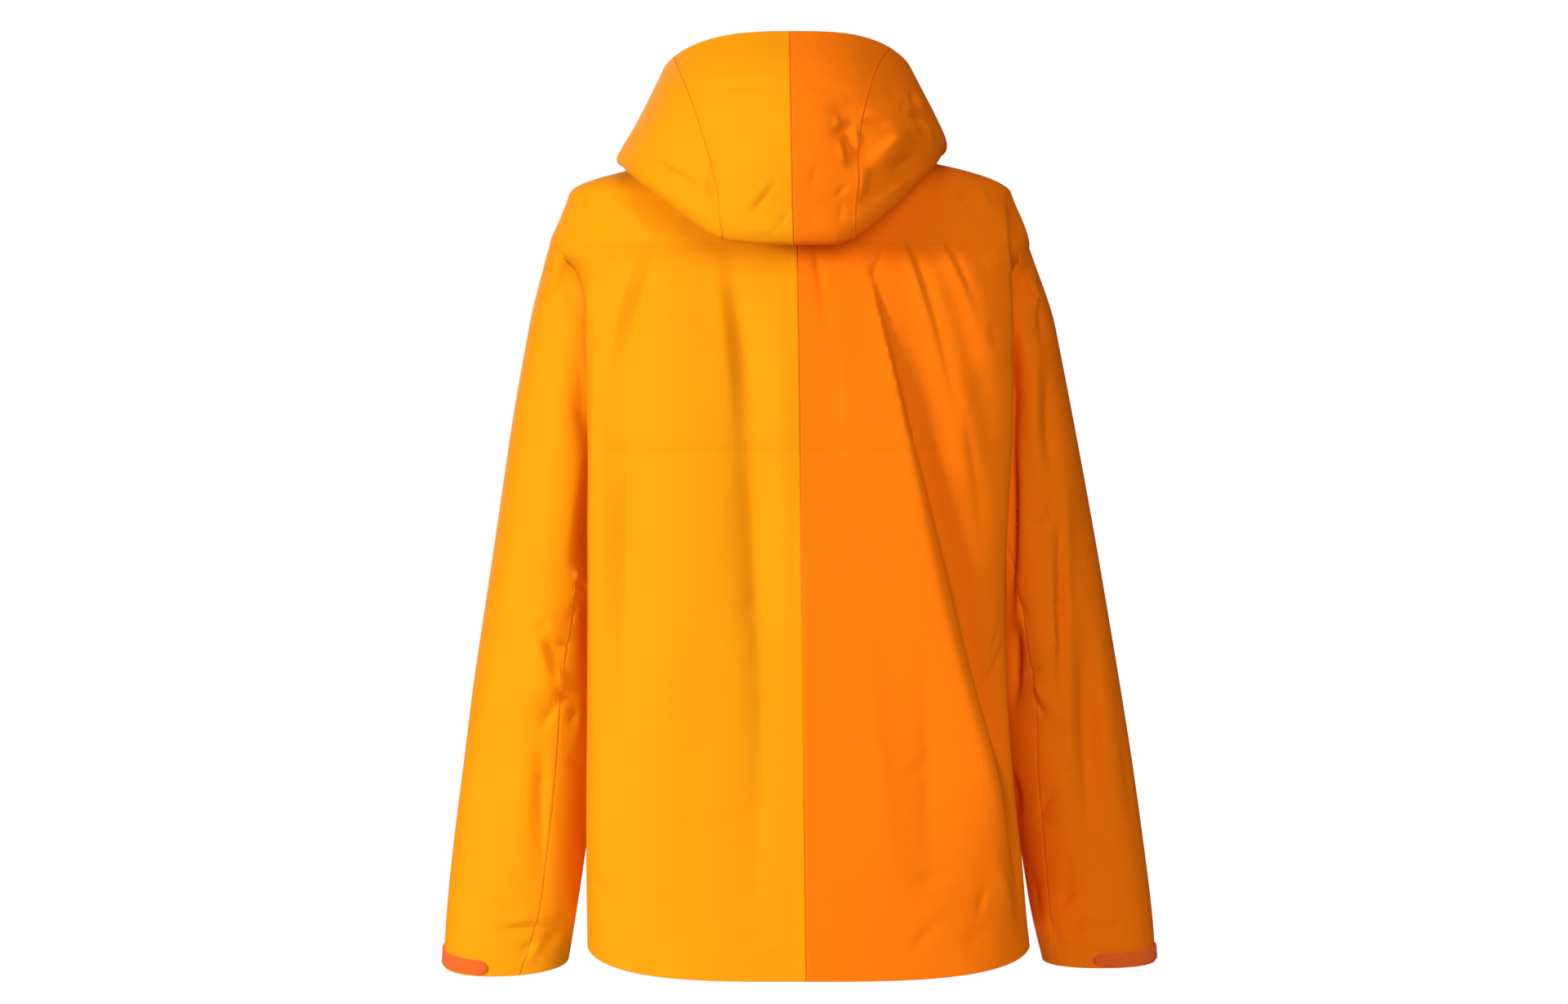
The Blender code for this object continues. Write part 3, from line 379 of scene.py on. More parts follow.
def turn_at_x(surface, side, x, along, half, centre):
    """Turn near the centre back (0) or centre front (pi) at which a surface has this x."""
    offset = np.arctan(x / half)
    for _ in range(3):
        reached = side * surface(side, np.abs(centre - offset), along)[..., 0]
        offset = offset * x / np.where(centre > 0, reached, np.sign(offset) * reached)
    return np.abs(centre - offset) if centre > 0 else offset


def seam_turn(surface, side, turn, along, step=1e-3):
    """Turn that spans half the seam gap at a place on a surface."""
    span = surface(side, turn + step, along) - surface(side, turn - step, along)
    return SEAM_GAP * step / np.linalg.norm(span, axis=-1)


def plain_edge(row, edge):
    """Edge that the inner columns follow: beside the armhole it runs straight up to the shoulder."""
    climbed = np.clip((row - LOWER_ROWS) / ARMHOLE_ROWS, 0, 1)
    low, high = ArmholeRow(*ARMHOLE[0]).rear, ArmholeRow(*ARMHOLE[-1]).rear
    straight = np.radians(low + (high - low) * climbed)
    return np.where((climbed > 0) & (climbed < 1), straight, edge)


def back_panel(side, u, v):
    """Turn and level of a place on a back panel: u from the centre seam out, v up."""
    row = v * BODY_ROWS
    level, rear_edge, _ = body_row(row)
    levels = read_named(BodyLevel, BODY_LEVELS, level)
    seam_x = side * CENTRE_BACK_LEAN * levels.z_back + SEAM_GAP / 2
    start = turn_at_x(body_smooth, side, seam_x, level, half_of(levels, side), 0.0)
    edge = rear_edge - seam_turn(body_smooth, side, rear_edge, level)
    plain = plain_edge(row, edge)
    return start + u * (plain - start) + (edge - plain) * u ** BACK_EDGE_PULL, level


def front_panel(side, u, v):
    """Turn and level of a place on a front panel: u from the zip out, v up."""
    row = v * BODY_ROWS
    level, _, front_edge = body_row(row)
    half = half_of(read_named(BodyLevel, BODY_LEVELS, level), side)
    start = turn_at_x(body_smooth, side, ZIP_HALF_WIDTH + SEAM_GAP, level, half, math.pi)
    edge = front_edge + seam_turn(body_smooth, side, front_edge, level)
    plain = plain_edge(row, edge)
    return start + u * (plain - start) + (edge - plain) * u ** FRONT_EDGE_PULL, level


print("rows of the body", BODY_ROWS)

# %% [markdown]
# A sleeve starts on the armhole and runs down through rings. A ring is an oval that may tilt, and
# the first stretch eases from the armhole's own curve to the first ring, as a set-in sleeve does.

# %% The sleeves' form
SleeveRing = namedtuple("SleeveRing", "x_in x_out rear front z_in z_out rear_droop")
SLEEVE_RINGS = {
    LEFT: (
        (0.1720, 0.2550, 0.037, -0.106, -0.292, -0.150, 0.000),    # head
        (0.1700, 0.2700, 0.042, -0.109, -0.318, -0.235, 0.000),
        (0.1720, 0.2840, 0.041, -0.109, -0.360, -0.330, 0.000),    # upper arm
        (0.1770, 0.2960, 0.037, -0.107, -0.425, -0.410, 0.000),
        (0.1830, 0.3080, 0.030, -0.101, -0.495, -0.490, 0.001),    # elbow
        (0.1900, 0.3175, 0.022, -0.096, -0.568, -0.565, 0.002),
        (0.2000, 0.3270, 0.014, -0.087, -0.642, -0.640, 0.004),
        (0.2095, 0.3335, 0.008, -0.077, -0.706, -0.705, 0.007),
        (0.2170, 0.3365, 0.005, -0.067, -0.752, -0.757, 0.012),    # cuff
    ),
    RIGHT: (
        (0.1760, 0.2475, 0.034, -0.106, -0.290, -0.150, 0.000),
        (0.1740, 0.2640, 0.038, -0.109, -0.318, -0.235, 0.000),
        (0.1720, 0.2815, 0.041, -0.109, -0.360, -0.330, 0.000),
        (0.1770, 0.2955, 0.037, -0.107, -0.425, -0.410, 0.000),
        (0.1850, 0.3090, 0.030, -0.101, -0.495, -0.490, 0.000),
        (0.1960, 0.3210, 0.022, -0.096, -0.568, -0.565, 0.001),
        (0.2130, 0.3315, 0.014, -0.087, -0.642, -0.640, 0.002),
        (0.2240, 0.3395, 0.008, -0.077, -0.706, -0.705, 0.004),
        (0.2350, 0.3430, 0.005, -0.067, -0.753, -0.753, 0.006),
    ),
}
SLEEVE_SQUARENESS = 2.2
HEAD_EASE = 0.8                     # how firmly the first stretch takes the head ring's slope
HALF_ROUND = ARMHOLE_ROWS           # armhole rows behind, and again in front
SLEEVE_LAST = len(SLEEVE_RINGS[LEFT])


def armhole_point(side, around):
    """Place on the armhole: around 0 at the underarm, 0.5 at the shoulder, rear side first."""
    row = np.asarray(around, float) % 1.0 * 2 * HALF_ROUND
    rear_half = row <= HALF_ROUND
    slit = read_named(ArmholeRow, ARMHOLE, np.where(rear_half, row, 2 * HALF_ROUND - row))
    return body_surface(side, np.radians(np.where(rear_half, slit.rear, slit.front)), slit.level)


def armhole_spread(side):
    """Share of the way round the armhole, by length, at each row."""
    steps = np.arange(2 * HALF_ROUND + 1) / (2 * HALF_ROUND)
    points = armhole_point(side, np.minimum(steps, 1 - 1e-9))
    lengths = np.linalg.norm(np.diff(points, axis=0), axis=1)
    rear = np.concatenate([[0], np.cumsum(lengths[:HALF_ROUND])]) / lengths[:HALF_ROUND].sum() / 2
    front = 0.5 + np.cumsum(lengths[HALF_ROUND:]) / lengths[HALF_ROUND:].sum() / 2
    return steps, np.concatenate([rear, front])


SPREAD = {side: armhole_spread(side) for side in WORDS}


def sleeve_angle(side, around):
    """Angle round the sleeve: pi at the inner side, pi/2 at the rear, 0 at the outer side."""
    steps, shares = SPREAD[side]
    lap = np.floor(around)
    return math.pi - 2 * math.pi * (np.interp(around - lap, steps, shares) + lap)


def ring_oval(side, ring, angle):
    """Point of a sleeve ring (0 is the head ring) at an angle."""
    row = read_named(SleeveRing, SLEEVE_RINGS[side], ring)
    half_width = (row.x_out - row.x_in) / 2
    half_depth = (row.rear - row.front) / 2
    rearward, outward = oval_point(half_depth, half_width, SLEEVE_SQUARENESS, angle)
    x = (row.x_in + row.x_out) / 2 + outward
    y = (row.rear + row.front) / 2 + rearward
    z = (row.z_in + row.z_out) / 2 + (row.z_out - row.z_in) / 2 * outward / half_width
    return np.stack([side * x, y, z - row.rear_droop * rearward / half_depth], axis=-1)


def sleeve_smooth(side, around, ring):
    """The sleeve without folds; ring 0 is the armhole and ring 1 the head ring."""
    around, ring = np.broadcast_arrays(np.asarray(around, float), np.asarray(ring, float))
    angle = sleeve_angle(side, around)
    low = ring_oval(side, ring - 1, angle)
    head = ring_oval(side, 0, angle)
    hole = armhole_point(side, around)
    leave = (head - hole) / np.linalg.norm(head - hole, axis=-1, keepdims=True)
    start = hole + SEAM_GAP * leave
    slope = HEAD_EASE * (ring_oval(side, 1, angle) - head)
    f = np.clip(ring, 0, 1)[..., None]
    upper = (start * (1 - f) ** 2 * (1 + 2 * f) + head * f ** 2 * (3 - 2 * f)
             + f * (1 - f) ** 2 * (head - start) - f ** 2 * (1 - f) * slope)
    return np.where(ring[..., None] < 1, upper, low)


def sleeve_normals(side, around, ring, surface):
    """Outward normals of the sleeve, whose rings are counted downwards."""
    return -normals_of(lambda s, a, r: surface(s, a, np.clip(r, 0, SLEEVE_LAST)), side, around, ring)


def sleeve_surface(side, around, ring):
    """The sleeve with its large folds, which start below the armhole."""
    point = sleeve_smooth(side, around, ring)
    angle = sleeve_angle(side, around)
    rear = soft_step(np.sin(angle), *SLEEVE_FOLDS_BEGIN)
    front = soft_step(-np.sin(angle), *SLEEVE_FOLDS_BEGIN)
    x, z = point[..., 0], point[..., 2]
    lift = rear * fold_height(SLEEVE_REAR_FOLDS, x, z) + front * fold_height(SLEEVE_FRONT_FOLDS, x, z)
    lift = lift * soft_step(ring, 0, 1)
    return point + lift[..., None] * sleeve_normals(side, around, ring, sleeve_smooth)


print("sleeve rings", SLEEVE_LAST)

# %% [markdown]
# A sleeve is one piece of cloth, sewn into a tube along a seam that starts under the arm and comes
# round to the back of the forearm. The sheet starts and ends on that seam, so the seam is real: two
# edges that meet. The table gives how far round the seam lies at each ring, as a share of a turn.

# %% Where the sleeve's sheet lies
SLEEVE_SEAM = {
    LEFT: (0.000, 0.030, 0.085, 0.135, 0.148, 0.155, 0.151, 0.147, 0.150, 0.175),
    RIGHT: (0.000, 0.030, 0.080, 0.125, 0.153, 0.158, 0.140, 0.120, 0.107, 0.095),
}


def sleeve_sheet(side, u, v):
    """Share of a turn and ring of a place on the sleeve: u round from the seam, v up from the cuff."""
    ring = (1 - v) * SLEEVE_LAST
    seam = read_rows(np.asarray(SLEEVE_SEAM[side])[:, None], ring)[..., 0]
    return seam + u, ring


print("sleeve seam rows", len(SLEEVE_SEAM[LEFT]))

# %% [markdown]
# The hood lies back as an open pouch. Its rings climb a low stand, go out over the upper back to
# the fold at the bottom of the pouch, and come up to the edge of the face opening. In front the
# same rings climb the collar on both sides of the zip.

# %% The hood's form
HoodRing = namedtuple("HoodRing", "half_left half_right back widest front "
                      "z_back z_side_left z_side_right z_front")
HOOD_RINGS = (
    (0.0905, 0.0900, 0.0800, 0.002, -0.0850, 0.0190, 0.0230, 0.0230, -0.0350),   # stand
    (0.1180, 0.1080, 0.1080, 0.012, -0.0890, 0.0080, 0.0160, 0.0190, -0.0200),   # roll
    (0.1450, 0.1260, 0.1360, 0.025, -0.0920, -0.0380, 0.0050, 0.0110, -0.0060),  # underside
    (0.1610, 0.1360, 0.1640, 0.035, -0.0945, -0.0830, -0.0010, 0.0090, 0.0050),  # bottom fold
    (0.1690, 0.1415, 0.1880, 0.040, -0.0960, -0.0590, 0.0040, 0.0150, 0.0130),
    (0.1640, 0.1400, 0.1990, 0.040, -0.0965, -0.0100, 0.0160, 0.0260, 0.0210),
    (0.1510, 0.1320, 0.1910, 0.036, -0.0970, 0.0380, 0.0380, 0.0440, 0.0290),
    (0.1370, 0.1200, 0.1650, 0.030, -0.0970, 0.0820, 0.0660, 0.0680, 0.0370),
    (0.1250, 0.1080, 0.1230, 0.022, -0.0965, 0.1190, 0.0920, 0.0920, 0.0450),    # face opening
)
HOOD_SQUARENESS = 2.15
HOOD_LAST = len(HOOD_RINGS)         # ring number of the face opening; the neck seam is ring 0
HOOD_SIDE_FLATNESS = 3.4
CROWN_SEAM = {
    LEFT: (0.058, 0.059, 0.061, 0.063, 0.066, 0.071, 0.079, 0.092, 0.106, 0.1150),
    RIGHT: (0.058, 0.058, 0.056, 0.055, 0.055, 0.054, 0.057, 0.062, 0.073, 0.0885),
}
CROWN_SEAM_SETTLED = 4      # ring from which the crown seam has left the body's column
HOOD_SEAM_DRIFT = 0.006     # how far the colour seam has moved to the left at the face opening
CROWN_COLUMNS = 5


def hood_smooth(side, turn, ring):
    """The hood without folds; ring 0 is the neck seam, set just above the body's."""
    turn, ring = np.broadcast_arrays(np.asarray(turn, float), np.asarray(ring, float))
    seam = body_smooth(side, turn, np.full(turn.shape, float(NECK))) + np.array([0, 0, SEAM_GAP])
    points = [seam]
    for row in (HoodRing(*row) for row in HOOD_RINGS):
        z_side = row.z_side_left if side == LEFT else row.z_side_right
        depth = np.where(np.cos(turn) > 0, row.back - row.widest, row.widest - row.front)
        x, y = oval_point(half_of(row, side), depth, HOOD_SQUARENESS, turn)
        rear_share = 1 - np.abs(np.sin(turn)) ** HOOD_SIDE_FLATNESS
        z = np.where(np.cos(turn) > 0, z_side + (row.z_back - z_side) * rear_share,
                     z_side + (row.z_front - z_side) * np.cos(turn) ** 2)
        points.append(np.stack([side * x, y + row.widest, z], axis=-1))
    points = np.stack(points)
    ring = np.clip(ring, 0, HOOD_LAST)
    first = np.minimum(ring.astype(int), HOOD_LAST - 1)
    f = (ring - first)[..., None]

    def pick(number):
        number = np.clip(number, 0, HOOD_LAST)
        return np.take_along_axis(points, number[None, ..., None], axis=0)[0]

    return smooth_between(pick(first - 1), pick(first), pick(first + 1), pick(first + 2), f)


def hood_surface(side, turn, ring):
    """The hood with its large folds, which lie on the outer side of the pouch."""
    ring = np.clip(ring, 0, HOOD_LAST)
    point = hood_smooth(side, turn, ring)
    outer = soft_step(ring, *HOOD_FOLDS_RINGS[:2]) * (1 - soft_step(ring, *HOOD_FOLDS_RINGS[2:]))
    outer = outer * (1 - soft_step(turn, *HOOD_FOLDS_TURN))
    lift = outer * fold_height(HOOD_FOLDS, point[..., 0], point[..., 2])
    return point + lift[..., None] * normals_of(hood_smooth, side, turn, ring)


print("hood rings", HOOD_LAST)

# %% [markdown]
# The hood is four panels: a crown panel on each side of the colour seam, and a side panel that runs
# on round the neck to the zip. The crown seam is given by its distance from the middle at each ring.

# %% Where the hood's panels lie


def crown_seam_turn(side, ring):
    """Turn at which the crown seam lies on a ring."""
    wanted = read_rows(np.asarray(CROWN_SEAM[side])[:, None], ring)[..., 0]
    turns = np.linspace(0.0, math.pi / 2, 181)
    result = np.zeros(np.shape(wanted))
    for index, (target, level) in enumerate(zip(np.ravel(wanted), np.ravel(ring))):
        xs = np.abs(hood_smooth(side, turns, np.full(turns.shape, float(level)))[:, 0])
        result.flat[index] = np.interp(target, xs, turns)
    return result


def neck_turns(side):
    """Turns of the body's columns at the neck seam, back panel then front panel."""
    back, _ = back_panel(side, np.arange(BACK_COLUMNS + 1) / BACK_COLUMNS, np.ones(BACK_COLUMNS + 1))
    front, _ = front_panel(side, np.arange(FRONT_COLUMNS, -1, -1) / FRONT_COLUMNS,
                           np.ones(FRONT_COLUMNS + 1))
    return np.concatenate([back, front[1:]])


NECK_TURNS = {side: neck_turns(side) for side in WORDS}
SEAM_STEPS = np.linspace(0, HOOD_LAST, 41)
CROWN_SEAM_TURNS = {side: crown_seam_turn(side, SEAM_STEPS) for side in WORDS}


def hood_seam(side, ring):
    """Turn of the crown seam on a ring: at the neck it starts from a column of the body."""
    turn = np.interp(ring, SEAM_STEPS, CROWN_SEAM_TURNS[side])
    start = NECK_TURNS[side][CROWN_COLUMNS]
    return turn + (start - turn) * (1 - soft_step(ring, 0, CROWN_SEAM_SETTLED))


def hood_half(side, ring):
    """Half width of the hood at a ring."""
    rows = [BodyLevel(*BODY_LEVELS[NECK])] + [HoodRing(*row) for row in HOOD_RINGS]
    return np.interp(ring, np.arange(HOOD_LAST + 1), [half_of(row, side) for row in rows])


def spread_like(turns, u):
    """Places from 0 to 1 spaced as a list of turns is."""
    last = len(turns) - 1
    inside = np.clip(u, 0, 1)
    shares = (turns - turns[0]) / (turns[-1] - turns[0])
    return np.interp(inside * last, np.arange(last + 1), shares) + u - inside


def crown_panel(side, u, v):
    """Turn and ring of a place on a crown panel: u from the colour seam out, v up."""
    ring = v * HOOD_LAST
    drift = side * HOOD_SEAM_DRIFT * soft_step(ring, 0, HOOD_LAST) + SEAM_GAP / 2
    middle = turn_at_x(hood_smooth, side, drift, ring, hood_half(side, ring), 0.0)
    seam = hood_seam(side, ring)
    seam = seam - seam_turn(hood_smooth, side, seam, ring)
    return middle + spread_like(NECK_TURNS[side][:CROWN_COLUMNS + 1], u) * (seam - middle), ring


def hood_side_panel(side, u, v):
    """Turn and ring of a place on a hood side: u from the crown seam to the zip, v up."""
    ring = v * HOOD_LAST
    seam = hood_seam(side, ring)
    seam = seam + seam_turn(hood_smooth, side, seam, ring)
    end = turn_at_x(hood_smooth, side, ZIP_HALF_WIDTH + SEAM_GAP, ring, hood_half(side, ring), math.pi)
    return seam + spread_like(NECK_TURNS[side][CROWN_COLUMNS:], u) * (end - seam), ring


print("columns at the neck", {word: len(NECK_TURNS[side]) for side, word in WORDS.items()})

# %% [markdown]
# The short creases are what tells this cloth from a soft one. Each has a steep side and a slow one,
# is highest at its peak and dies away at its ends. They are listed in millimetres. A
# crease's two widths lie on the right and the left hand of someone who walks along it on the
# picture from behind. Its height is negative for a trough, its bend is how far its middle lies
# aside, and its spread is how much wider it ends than it starts. Similar ones lie on the front,
# which the photograph doesn't show.

# %% The short creases
Crease = namedtuple("Crease", "x_start z_start x_end z_end bend height right_hand left_hand spread peak")
CREASES = {
    "back_left": (
        (0, -80, 0, -759, 0, -6.0, 60, 60, 1.0, 0.45),     # the wide valley along the centre seam
        (187, -102, 187, -699, 0, 5.2, 5, 16, 1.0, 0.35),
        (205, -28, 205, -43, 0, -2.1, 2.4, 3.2, 1.3, 0.4),
        (193, -102, 196, -170, 0, 3.9, 3, 12, 1.0, 0.4),
        (103, -51, 174, -185, -9, 3.9, 9, 6, 1.4, 0.35),
        (176, -155, 182, -616, 2, 5.2, 9, 8, 1.2, 0.3),
        (116, -57, 159, -231, -14, -7.7, 5, 9, 1.9, 0.45),
        (129, -55, 171, -208, -12, 3.1, 4.8, 4.0, 1.8, 0.45),
        (159, -178, 165, -593, 2, -6.0, 8, 16, 1.2, 0.3),
        (64, -77, 40, -276, 3, -8.0, 10, 16, 1.7, 0.55),
        (78, -80, 64, -246, 3, 2.8, 9, 8, 1.5, 0.4),
        (48, -208, 30, -616, 2, -8.8, 11, 26, 1.2, 0.35),
        (69, -102, 57, -336, 3, 2.4, 16, 5, 1.4, 0.4),
        (30, -457, 38, -729, 0, -3.1, 18, 14, 1.1, 0.5),
        (14, -102, 10, -533, 0, 2.8, 12, 12, 1.0, 0.3),
        (162, -31, 126, -72, -3, 2.3, 5.6, 4.0, 1.6, 0.4),
        (181, -42, 161, -102, -4, -1.9, 4.0, 4.8, 1.6, 0.4),
        (155, -555, 132, -676, 5, -1.8, 8, 10, 1.5, 0.4),
        (191, -665, 168, -687, -2, -2.6, 2.4, 4.0, 1.8, 0.3),
        (57, -727, 8, -720, 3, -1.6, 2.4, 3.2, 1.5, 0.4),
        (69, -741, 19, -736, 2, 1.2, 3.2, 3.2, 1.3, 0.4),
        (53, -427, 11, -382, 4, -1.2, 4.8, 4.8, 1.6, 0.4),
        (38, -517, 10, -489, 3, -1.1, 4.0, 4.0, 1.6, 0.4),
        (72, -680, 11, -676, 1, -1.4, 4.0, 3.2, 1.2, 0.5),
        (87, -623, 30, -608, 2, -1.1, 4.8, 4.8, 1.3, 0.5),
    ),
    "back_right": (
        (0, -80, 0, -759, 0, -6.0, 60, 60, 1.0, 0.45),     # the other half of that valley
        (-195, -46, -193, -442, 0, 13.8, 34, 5, 1.0, 0.3),
        (-214, -24, -211, -72, 0, -8.0, 11, 10, 1.0, 0.4),
        (-197, -33, -194, -80, 0, 2.1, 9, 3, 1.0, 0.4),
        (-66, -101, -138, -404, 0, 4.5, 10, 2.0, 1.4, 0.16),
        (-97, -208, -162, -480, 0, 3.1, 12, 2.4, 1.2, 0.5),
        (-125, -336, -211, -691, 0, 8.8, 17, 3.0, 1.1, 0.6),       # lit side of the longest fold
        (-71, -102, -149, -391, 0, -9.1, 2.2, 4.0, 3.0, 0.7),
        (-125, -309, -217, -616, 0, -19.5, 8, 12, 1.5, 0.6),       # its shaded trough
        (-84, -70, -69, -108, 2, -3.3, 3.2, 1.6, 1.2, 0.8),
        (-93, -61, -144, -231, 5, 2.4, 4.8, 2.4, 1.8, 0.25),
        (-99, -64, -153, -261, 5, -3.0, 2.4, 6.4, 2.0, 0.3),
        (-155, -231, -173, -366, 2, -2.8, 5, 10, 1.3, 0.3),
        (-129, -66, -167, -154, 3, 1.9, 4.8, 2.4, 1.6, 0.3),
        (-134, -67, -174, -163, 3, -2.3, 2.4, 4.8, 1.8, 0.35),
        (-174, -151, -180, -179, 0, -2.1, 2.4, 4.0, 1.3, 0.5),
        (-17, -84, -28, -170, 1, -3.1, 2.4, 4.8, 2.2, 0.25),
        (-34, -102, -52, -427, 3, 3.1, 18, 14, 1.3, 0.4),
        (-54, -397, -93, -706, 3, 3.9, 26, 14, 1.1, 0.5),
        (-116, -427, -123, -691, 2, -4.5, 10, 20, 1.1, 0.5),
        (-199, -533, -217, -736, 0, -10.9, 10, 14, 1.1, 0.45),
        (-149, -28, -174, -54, 3, -2.8, 3.2, 4.8, 1.6, 0.3),
        (-170, -21, -196, -51, -3, 2.1, 3.2, 4.0, 1.6, 0.3),
        (-94, -578, -152, -542, 4, -1.8, 4.8, 4.8, 1.6, 0.4),
        (-116, -612, -174, -584, 5, 1.6, 4.0, 4.8, 1.4, 0.4),
        (-102, -676, -155, -659, 3, -2.3, 3.2, 4.0, 1.6, 0.4),
        (-167, -699, -179, -674, 1, -2.3, 2.4, 3.2, 1.4, 0.4),
        (-109, -706, -153, -688, 3, 1.6, 3.2, 4.0, 1.4, 0.4),
        (-106, -733, -138, -706, 2, -2.6, 2.4, 4.0, 1.6, 0.4),
        (-152, -726, -190, -715, 2, -1.9, 2.4, 3.2, 1.5, 0.4),
        (-186, -638, -205, -721, 0, 3.1, 9, 3, 1.2, 0.5),
        (-26, -725, -57, -740, 0, -1.2, 3.2, 3.2, 1.4, 0.4),
        (-196, -436, -179, -507, 2, -2.8, 1.6, 4.0, 1.4, 0.4),
        (-190, -434, -185, -465, 0, -2.4, 1.6, 2.4, 1.2, 0.4),
    ),
    "sleeve_left_rear": (
        (206, -148, 199, -275, 0, -3.6, 10, 8, 1.0, 0.6),
        (196, -266, 201, -392, 1, -12.6, 4, 8, 2.2, 0.75),
        (200, -395, 199, -498, 0, -7.5, 2.4, 4.8, 1.0, 0.3),
        (201, -560, 198, -660, 0, -6.0, 4.0, 6.4, 1.4, 0.6),
        (199, -98, 226, -99, 0, -9.8, 5.6, 4.8, 0.3, 0.2),
        (203, -89, 223, -99, 0, 1.5, 2.4, 2.4, 0.6, 0.4),
        (221, -108, 201, -143, -1, -3.9, 1.8, 4.0, 2.0, 0.45),
        (230, -110, 216, -183, 2, 2.1, 4.0, 6.4, 1.8, 0.4),
        (207, -22, 209, -41, 0, -2.4, 2.0, 3.2, 1.3, 0.4),
        (233, -76, 203, -89, 1, -1.5, 1.6, 2.4, 1.4, 0.5),
        (212, -386, 199, -384, 0, 3.6, 3.2, 2.4, 1.2, 0.5),
        (209, -392, 198, -401, 0, -3.9, 2.4, 2.4, 1.3, 0.5),
        (204, -401, 215, -432, 1, -3.3, 2.4, 3.2, 1.5, 0.4),
        (247, -432, 230, -431, 0, -5.1, 3.6, 1.4, 1.2, 0.5),
        (239, -441, 224, -489, 2, -6.6, 4, 9, 1.4, 0.4),
        (246, -441, 230, -495, 2, 2.7, 5.6, 2.0, 1.4, 0.4),
        (227, -451, 207, -452, 0, -3.6, 2.4, 2.4, 1.2, 0.4),
        (226, -460, 221, -498, 0, 2.7, 4.0, 3.2, 1.2, 0.5),
        (230, -495, 219, -508, 1, -3.6, 2.4, 4.0, 1.3, 0.5),
        (224, -501, 204, -504, 1, -4.5, 3.2, 1.9, 1.6, 0.3),
        (221, -506, 241, -534, -2, -4.8, 4.0, 2.1, 1.5, 0.5),
        (209, -508, 215, -529, 0, -3.3, 2.1, 3.2, 1.4, 0.4),
        (203, -511, 209, -552, 0, 2.4, 4.0, 3.2, 1.2, 0.4),
        (219, -564, 199, -566, 0, -2.4, 3.2, 3.2, 1.3, 0.5),
        (246, -575, 230, -585, 0, -2.0, 3.2, 3.2, 1.4, 0.4),
        (239, -537, 239, -688, -1, -3.9, 6.4, 4.0, 1.2, 0.4),
        (252, -537, 258, -683, 0, 2.4, 10, 6, 1.3, 0.4),
        (286, -506, 298, -688, 2, -2.7, 10, 14, 1.2, 0.5),
        (307, -622, 315, -691, 0, 1.4, 5.6, 5.6, 1.2, 0.5),
        (320, -712, 289, -683, 2, -1.5, 3.2, 4.0, 1.6, 0.4),
        (290, -722, 230, -720, 2, -5.1, 4.8, 1.8, 1.0, 0.55),
        (280, -717, 236, -711, 2, 2.2, 3.2, 4.0, 1.2, 0.5),
        (233, -720, 209, -700, -2, -3.0, 4.0, 3.2, 1.5, 0.4),
        (247, -729, 264, -752, 0, -2.7, 4.0, 2.4, 1.5, 0.4),
        (239, -731, 258, -759, 0, 1.8, 3.2, 2.4, 1.3, 0.4),
        (212, -712, 246, -743, 1, -5.1, 9, 7, 1.3, 0.5),
    ),
    "sleeve_right_rear": (
        (-205, -63, -205, -275, 0, -17.2, 9, 5.5, 1.0, 0.5),
        (-204, -229, -203, -460, 0, -12.6, 9, 3.6, 1.1, 0.4),
        (-209, -429, -206, -521, 1, -10.3, 4.8, 3.2, 1.0, 0.4),
        (-204, -568, -212, -622, 0, -5.6, 3.2, 3.2, 1.2, 0.5),
        (-224, -76, -204, -118, 2, -11.2, 4.0, 2.7, 1.8, 0.5),
        (-218, -84, -212, -110, 1, 3.8, 2.4, 3.2, 1.6, 0.4),
        (-204, -95, -210, -89, 0, -3.4, 2.4, 2.4, 1.2, 0.4),
        (-226, -121, -212, -126, 0, -2.2, 2.4, 2.4, 1.4, 0.4),
        (-224, -89, -229, -146, 0, 5.2, 4.0, 1.8, 1.6, 0.5),
        (-228, -98, -233, -175, 0, -4.9, 1.8, 4.8, 1.6, 0.5),
        (-203, -81, -218, -73, 0, -2.6, 2.4, 1.6, 1.2, 0.5),
        (-227, -160, -230, -309, -4, 7.9, 18, 5.5, 1.1, 0.45),
        (-238, -183, -243, -309, -3, -4.9, 5, 9, 1.1, 0.5),
        (-229, -304, -243, -340, 1, -5.2, 2.1, 4.8, 1.2, 0.6),
        (-210, -337, -243, -338, 0, -4.1, 1.6, 5.6, 1.0, 0.7),
        (-239, -323, -241, -525, 1, 9.8, 24, 4.0, 1.1, 0.45),
        (-248, -310, -250, -521, 1, -7.9, 5, 9, 1.2, 0.45),
        (-236, -521, -223, -495, 1, -3.8, 2.4, 1.9, 1.3, 0.3),
        (-215, -478, -238, -474, 0, -4.1, 2.4, 3.2, 1.3, 0.4),
        (-224, -488, -238, -511, 0, 2.6, 2.4, 3.2, 1.3, 0.4),
        (-209, -404, -221, -438, 0, -3.0, 2.4, 3.2, 1.4, 0.4),
        (-255, -275, -256, -506, 0, 4.1, 4.8, 4.8, 1.2, 0.5),
        (-253, -375, -255, -660, 3, 6.0, 18, 7, 1.2, 0.5),
        (-273, -429, -278, -699, 2, -11.2, 11, 24, 1.1, 0.45),
        (-286, -414, -295, -660, 2, 4.9, 9, 12, 1.2, 0.5),
        (-312, -475, -321, -645, 0, -2.6, 6.4, 6.4, 1.2, 0.5),
        (-229, -614, -249, -585, 1, -4.5, 2.4, 2.7, 1.4, 0.4),
        (-226, -620, -249, -618, 0, -2.8, 2.4, 3.2, 1.3, 0.4),
        (-252, -581, -267, -560, 1, -2.6, 2.4, 3.2, 1.5, 0.4),
        (-250, -700, -269, -685, 2, -5.2, 2.4, 4.0, 1.2, 0.4),
        (-267, -688, -270, -645, 2, 3.4, 3.2, 4.8, 1.4, 0.4),
        (-250, -663, -267, -654, 1, -2.6, 3.2, 3.2, 1.2, 0.4),
        (-256, -729, -283, -709, 2, -4.1, 2.4, 3.2, 1.4, 0.4),
